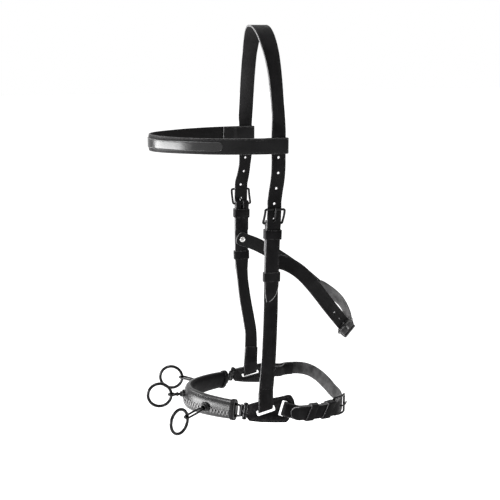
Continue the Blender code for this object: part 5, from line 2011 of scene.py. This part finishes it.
@dataclass
class SidePlate(Piece):
    """Flat leather side plate with a cheek slot, a chin slot and two hinge barrels."""

    side: Side
    slot_length: float = 26.0
    slot_height: float = 8.0
    chin_slot: Pair = (7.8, 6.2)
    chin_width: float = 19.0
    knuckle: float = 3.4
    knuckle_half: float = 3.3
    notch_end: float = -23.5
    barrel: float = 5.0
    pin: float = 3.0

    def outline(self) -> list[Pair]:
        """Plate outline in (y, z) of its own frame."""
        points = [(-28, -9.0), (-26, -10.2), (-24.5, -14.6), (-10, -17.0), (8, -18.4), (26, -19.3)]
        points += [(29.5, -16.8), (39, 4.5), (37.5, 12), (34, 17.6), (30, 18.4), (20, 16.5)]
        points += [(0, 13.6), (-14, 10.5), (-22, 8.6), (-28, 7.2)]
        points += [(-28, 2.9), (-26.5, 2.9), (-26.5, -4.9), (-28, -4.9)]
        rake = tan(radians(PLAN.hinge_rake))
        return [(y + (z + 1) * rake if y < -25 else y, z) for y, z in points]

    def build(self) -> None:
        """Build the plate, its hinge and its stitching."""
        name = self.side.label
        place = PLAN.plate(self.side) @ Matrix(((0, 0, 1, 0), (1, 0, 0, 0), (0, 1, 0, 0), (0, 0, 0, 1)))
        tilt = turned(PLAN.loop_slope - PLAN.slot_tilt, "Z")
        cheek = place @ shift(PLAN.loop_y - 0.8, PLAN.slot_top, 0.0) @ tilt
        stand = turned(90 - self.side.pick(*PLAN.chin_tilt), "Z")
        high = self.side.pick(*PLAN.chin_z)
        chin = place @ shift(PLAN.chin_edge, high, 0.0) @ stand
        pin = PLAN.hinge(self.side)
        cutters = [slab(cheek, self.slot_length / 2, -self.slot_height, 0.0, 6.0, 1.9)]
        cutters.append(slab(chin, self.chin_width / 2 + 1.2, 0.0, self.side.pick(*self.chin_slot), 6.0, 1.5))
        cutters.append(peg(pin, self.knuckle - 0.2, -20.0, 20.0, 32))
        mesh = punched(self.blank(place), "side_plate_leather_" + name, cutters)
        put("side_plate_leather_" + name, mesh, self.palette.strap, "bridle", ["side_plate_" + name])
        self.hinge(pin, name)
        self.stitches(place, name)

    def blank(self, place: Matrix) -> Shape:
        """Leather of the plate before its slots are cut."""
        bm = bmesh.new()
        thick = PLAN.plate_thick
        base = bm.faces.new([bm.verts.new((y, z, -thick / 2)) for y, z in self.outline()])
        made = ops.extrude_face_region(bm, geom=[base])["geom"]
        ops.translate(bm, vec=(0, 0, thick), verts=[v for v in made if isinstance(v, bmesh.types.BMVert)])
        upright = [e for e in bm.edges if abs(e.verts[0].co.z - e.verts[1].co.z) > thick / 2
                   and e.verts[0].co.x > self.notch_end]
        bevelled(bm, upright, 1.1)
        bevelled(bm, [e for e in bm.edges if abs(e.verts[0].co.z - e.verts[1].co.z) < 0.01], 0.45, 2)
        bm.normal_update()
        for face in bm.faces:
            face.material_index = (Skin.GRAIN if abs(face.normal.z) > 0.9 else Skin.EDGE).value
        wear = bm.verts.layers.float.new("wear")
        for vert in bm.verts:
            vert[wear] = 1.0 if abs(vert.co.z) < thick / 2 - 0.01 else 0.5
        ops.transform(bm, matrix=place, verts=bm.verts)
        return bm

    def hinge(self, pin: Matrix, name: str) -> None:
        """Build the hinge's barrels and its knobbed pin."""
        low = self.knuckle_half + PLAN.gap
        bore = self.pin / 2 + PLAN.gap
        r = self.knuckle
        barrels = []
        for start in (low, -low - self.barrel):
            top = start + self.barrel
            outline = [(bore, start), (r - 0.4, start), (r, start + 0.4), (r, start + 1.0), (r - 0.25, start + 1.3)]
            outline += [(r - 0.25, top - 1.3), (r, top - 1.0), (r, top - 0.4), (r - 0.4, top), (bore, top)]
            barrels.append(lathe(pin, outline, 36, hollow=True))
        self.metal("hinge_barrels_" + name, merged(barrels), "bridle", sharp=35.0)
        knob = [(1.5, 8.9), (2.7, 9.1), (3.15, 9.6), (3.2, 10.2), (3.0, 10.9), (2.2, 11.5), (0.0, 11.8)]
        shape = lathe(pin, [(r, -z) for r, z in reversed(knob)] + knob, 32)
        self.metal("hinge_pin_metal_" + name, shape, "bridle", ["hinge_pin_" + name], 50.0)

    def stitches(self, place: Matrix, name: str) -> None:
        """Sew round the plate's upper and lower edges."""
        middle = 4.0
        inset = [(y + (middle - y) * 0.10, z + (0.0 - z) * 0.17) for y, z in self.outline() if y > -25]
        sewn = []
        for (y0, z0), (y1, z1) in zip(inset, inset[1:]):
            count = int(round(hypot(y1 - y0, z1 - z0) / STITCH.pitch))
            angle = atan2(z1 - z0, y1 - y0) - pi / 2 + radians(STITCH.slant)
            lean = Matrix.Rotation(angle, 4, "Z")
            for k in range(count):
                t = (k + 0.5) / count
                for face in (-1.55, 1.55):
                    spot = shift(y0 + (y1 - y0) * t, z0 + (z1 - z0) * t, face)
                    sewn.append(STITCH.one(place @ spot @ lean))
        self.sewn("side_plate_stitching_" + name, sewn, "bridle")


@dataclass
class RingSet(Piece):
    """One swivelling ring: stud with its washer, link or post, and the round ring."""

    stud: Stud
    radius: float = 16.5
    wire: float = 4.4
    hole_wire: float = 4.0
    link_length: float = 36.0
    link_wire: float = 3.0
    eye_radius: float = 4.6
    pull: float = 0.8
    seat: float = -1.0
    turn: Triple = (4.0, 0.0, 38.0)

    def build(self) -> None:
        """Build the stud, the swivel and the ring."""
        place = PLAN.stud(self.stud)
        name = self.stud.label
        self.metal("ring_stud_metal_" + name, lathe(place, self.stud_outline(), 48), "bridle", ["ring_stud_" + name],
                   35.0)
        shape, eye = self.post(place) if self.stud is Stud.CENTRE else self.link(place)
        self.metal("ring_swivel_metal_" + name, shape, "swivel_" + name, ["ring_swivel_" + name], 50.0)
        hung = place @ shift(0.0, 0.0, eye) @ turned(self.turn[self.stud.value + 1], "Y")
        ring = hung @ shift(0.0, 0.0, self.radius) @ turned(90, "Z")
        self.metal("ring_metal_" + name, hoop(ring, self.radius, self.wire, 96), "ring_" + name, ["ring_" + name])

    def stud_outline(self) -> list[Pair]:
        """Washer and collar of a stud, as (radius, height)."""
        deep = -(PLAN.nose_depth / 2 - 1.2 - PLAN.gap) + 0.9
        rim, bore = (3.6, 2.4) if self.stud is Stud.CENTRE else (4.8, 3.6)
        base = self.seat + PLAN.gap
        outline = [(3.0, deep), (3.0, base), (6.3, base), (6.6, base + 0.3), (6.6, 0.9), (6.3, 1.3), (5.9, 1.5)]
        outline += [(rim + 0.9, 1.9), (rim + 0.4, 2.5), (rim + 0.4, 3.6), (rim + 0.15, 4.1), (rim + 0.15, 4.6)]
        return outline + [(rim, 5.0), (rim - 0.3, 5.2), (bore, 5.2), (bore, 1.2)]

    def post(self, place: Matrix) -> tuple[Shape, float]:
        """Turned centre post with its eye."""
        eye = 16.6
        outline = [(1.9, 1.5), (1.9, 6.6), (2.3, 7.4), (2.9, 8.1), (3.05, 8.8), (2.9, 9.5), (2.35, 9.9), (2.2, 10.3)]
        outline += [(2.5, 10.7), (2.55, 11.2), (2.1, 11.6), (1.9, eye - self.eye_radius)]
        loop = hoop(place @ shift(0.0, 0.0, eye), self.eye_radius, self.link_wire, 48)
        return merged([lathe(place, outline, 32), loop]), eye + self.pull

    def link(self, place: Matrix) -> tuple[Shape, float]:
        """Two-legged link bent from one wire."""
        eye = self.link_length
        half = self.link_wire / 2
        arm = self.hole_wire / 2 + 0.4 + half
        knots = [(-1.65, 1.5), (-1.65, 6.0), (-2.6, 11.0), (-arm, 20.0), (-arm, 28.0)]
        knots = [Vector((x, y, 0.0)) for x, y in knots]
        path = curve(knots, [k / 6 for k in range(6)]) + knots[-1:]
        angles = [radians(180 - 180 * k / 24) for k in range(25)]
        bend = [Vector((arm * cos(a), eye + arm * sin(a), 0.0)) for a in angles]
        back = [Vector((-p.x, p.y, 0.0)) for p in reversed(path)]
        points = [place @ Vector((p.x, 0.0, p.y)) for p in path + bend + back]
        return rod(points, [half] * len(points), place.to_3x3() @ Vector((0, 1, 0))), eye


@dataclass
class ChinStrap(Piece):
    """Chin strap: a long far half buckled over a short near half."""

    width: float = 19.0
    from_end: float = 75.0
    runner: float = 38.0
    keeper_drop: float = 14.2
    keeper_height: float = 11.5
    slant: float = -0.45
    tip: float = 7.0
    turn: float = -18.0
    sway: float = 1.2
    buckle: Buckle = Buckle(width=28.0)

    def build(self) -> None:
        """Build both halves, the buckle and the keepers."""
        route = PLAN.chin()
        end = route.length
        bar = end - self.from_end
        w = self.width
        ply = PLAN.ply
        turn = PLAN.plate_fold
        inside = blend([(40.0, -ply, w), (27.0, -ply, w), (16.0, -turn, w), (0.0, -turn, w)])[:-1]
        outside = [(0.0, turn, w), (16.0, turn, w), (27.0, ply, w), (bar - 70.0, ply, w)]
        rise = turn - ply
        over = billet(bar, outside, end - self.tip, w)[1:]
        over = [(s, lift + rise * min(1.0, max(0.0, (s - end + 24.0) / 9.0)), wide) for s, lift, wide in over]
        marks = inside + fold(0.0, turn, w, -90, -180) + over
        split = len(marks) - 30
        stations = swayed(route, marks[:split], (44.0, bar - 18.0), self.turn, self.sway)
        stations += slanted_tip(route, marks[split:], 12.0, 1.0, 0.1)
        self.skived_highlight_rim("chin_tip", stations[-15:-1], route.at(end)[3], 1.0)
        cutters = [tongue_hole(route, bar)]
        for s, lift in ((bar + 9.0, PLAN.over_ply), (bar - 23.0, 4.5), (bar - 39.0, 4.5)):
            cutters.append(hole(route.frame(s, lift), 1.6))
        # The flesh side of these finishes carries painted light.
        jaw = self.palette.jaw_strap
        self.strap("chin_leather_far", stations, -1.0, "bridle", "chin_strap_far", cutters, finishes=jaw)
        marks = through_slot(bar, 22.0, w, end, (15.0, 24.0, 36.0))
        self.strap("chin_leather_near", route.lay(marks), -1.0, "bridle", "chin_strap_near",
                   [tongue_slot(route, bar)], finishes=jaw)
        self.buckled(self.buckle, route, bar, "bridle", "chin")
        half = w / 2 + PLAN.slack
        self.keeper("chin_keeper", route, bar + self.keeper_drop, half - 0.2, -ply, 2 * PLAN.slack,
                    self.keeper_height, "bridle", "chin_fixed_keeper", self.slant)
        self.keeper("chin_slide", route, bar + self.runner, half, -ply, PLAN.slack, self.keeper_height,
                    "chin_runner", "chin_runner", self.slant)
        surface = PLAN.seam_lift
        sewn = []
        for x in (-w / 2 + PLAN.seam_inset, w / 2 - PLAN.seam_inset):
            for face in (surface, -surface):
                sewn += STITCH.row(route, 28.0, 39.0, x, face)
            sewn += STITCH.row(route, end - 33.0, end - 25.0, x, -surface)
        self.sewn("chin_stitching", sewn, "bridle")


# ---- studio


@dataclass(frozen=True)
class Lamp:
    """A soft rectangular lamp."""

    name: str
    place: Triple
    size: Pair
    glow: float


@dataclass(frozen=True)
class Studio:
    """White studio: floor, soft lamps, and the camera at the photograph's angle."""

    azimuth: float = 75.0
    elevation: float = 12.7
    distance: float = 1.340
    focal_pixels: float = 962.0
    picture: float = 500.0
    sensor: float = 36.0
    target: Triple = (-0.0020028, -0.0097465, -0.3026092)
    floor_z: float = -0.95
    room: float = 0.15
    lamps: tuple[Lamp, ...] = (
        Lamp("front_box", (0.09, -1.70, -0.50), (1.64, 0.56), 20.0),
        Lamp("top_front_box", (0.05, -0.80, 0.90), (0.6, 0.45), 18.0),
        Lamp("far_top_box", (-0.9, -1.0, 0.45), (0.5, 0.5), 7.0),
        Lamp("low_front_box", (-0.45, -1.62, -0.80), (0.7, 0.25), 6.0),
        Lamp("far_glint", (-0.5, -1.45, 0.55), (0.14, 0.14), 60.0),
        Lamp("rear_glint", (1.0, 1.25, 0.35), (0.12, 0.12), 50.0),
        Lamp("near_glint", (1.25, -1.15, 0.55), (0.14, 0.14), 60.0),
        Lamp("near_low_box", (0.9, 1.2, -0.9), (0.35, 0.35), 14.0),
    )

    def camera(self) -> None:
        """Place the camera."""
        a = radians(self.azimuth)
        e = radians(self.elevation)
        back = Vector((sin(a) * cos(e), -cos(a) * cos(e), sin(e)))
        right = Vector((cos(a), sin(a), 0.0))
        data = bpy.data.cameras.new("photo_camera")
        data.sensor_width = self.sensor
        data.lens = self.focal_pixels * self.sensor / self.picture
        data.clip_start = 0.01
        obj = linked("photo_camera", data)
        obj.matrix_world = axes(right, back.cross(right), back, Vector(self.target) + back * self.distance)
        bpy.context.scene.camera = obj

    def light(self) -> None:
        """Hang the lamps, each aimed at the middle of the bridle."""
        for lamp in self.lamps:
            data = bpy.data.lights.new(lamp.name, "AREA")
            data.shape = "RECTANGLE"
            data.size, data.size_y = lamp.size
            data.energy = lamp.glow * pi * lamp.size[0] * lamp.size[1]
            obj = linked(lamp.name, data)
            aim = Vector(self.target) - Vector(lamp.place)
            obj.rotation_mode = "QUATERNION"
            obj.rotation_quaternion = aim.to_track_quat("-Z", "Y")
            obj.location = lamp.place

    @staticmethod
    def white(tree: bpy.types.NodeTree, least: float, target: Socket) -> None:
        """Let a socket be 1 where the camera, a reflection or clear glass looks straight at a surface.

        Args:
            tree: the node tree.
            least: the socket's value for all other light.
            target: the socket.
        """
        path = tree.nodes.new("ShaderNodeLightPath")
        total = path.outputs["Is Camera Ray"]
        for name in ("Is Glossy Ray", "Is Transmission Ray"):
            add = tree.nodes.new("ShaderNodeMath")
            add.operation = "MAXIMUM"
            tree.links.new(total, add.inputs[0])
            tree.links.new(path.outputs[name], add.inputs[1])
            total = add.outputs["Value"]
        level = tree.nodes.new("ShaderNodeMapRange")
        level.inputs["To Min"].default_value = least
        tree.links.new(total, level.inputs["Value"])
        tree.links.new(level.outputs["Result"], target)

    def world(self) -> None:
        """White room that lights the bridle only gently."""
        world = bpy.data.worlds.new("studio_world")
        bpy.context.scene.world = world
        world.use_nodes = True
        background = world.node_tree.nodes["Background"]
        background.inputs["Color"].default_value = (1.0, 1.0, 1.0, 1.0)
        self.white(world.node_tree, self.room, background.inputs["Strength"])

    def floor(self) -> None:
        """Pale floor far below the hanging bridle; it keeps the bridle's shadow."""
        bm = bmesh.new()
        ops.create_grid(bm, x_segments=1, y_segments=1, size=14.0, matrix=shift(0.0, 0.0, self.floor_z))
        mesh = bpy.data.meshes.new("studio_floor")
        bm.to_mesh(mesh)
        bm.free()
        linked("studio_floor", mesh)
        graph = Graph("floor_paint")
        graph.fill(graph.shader, Base_Color=(0.82, 0.82, 0.82), Roughness=0.9, Emission_Color=(1.0, 1.0, 1.0))
        self.white(graph.tree, 0.0, graph.shader.inputs["Emission Strength"])
        mesh.materials.append(graph.material)

    def build(self) -> None:
        """Set up the studio."""
        bpy.context.scene.view_settings.view_transform = "Standard"
        self.camera()
        self.light()
        self.world()
        self.floor()


# ---- assembly


def main() -> None:
    """Dress the bridle and set up the studio."""
    logging.basicConfig(level=logging.INFO, format="%(message)s")
    palette = Palette()
    Headpiece(palette).build()
    Browband(palette).build()
    for side in Side:
        Cheekpiece(palette, side).build()
        SidePlate(palette, side).build()
    ThroatStrap(palette).build()
    Nosepiece(palette).build()
    for stud in Stud:
        RingSet(palette, stud).build()
    ChinStrap(palette).build()
    Studio().build()


if __name__ == "__main__":
    main()
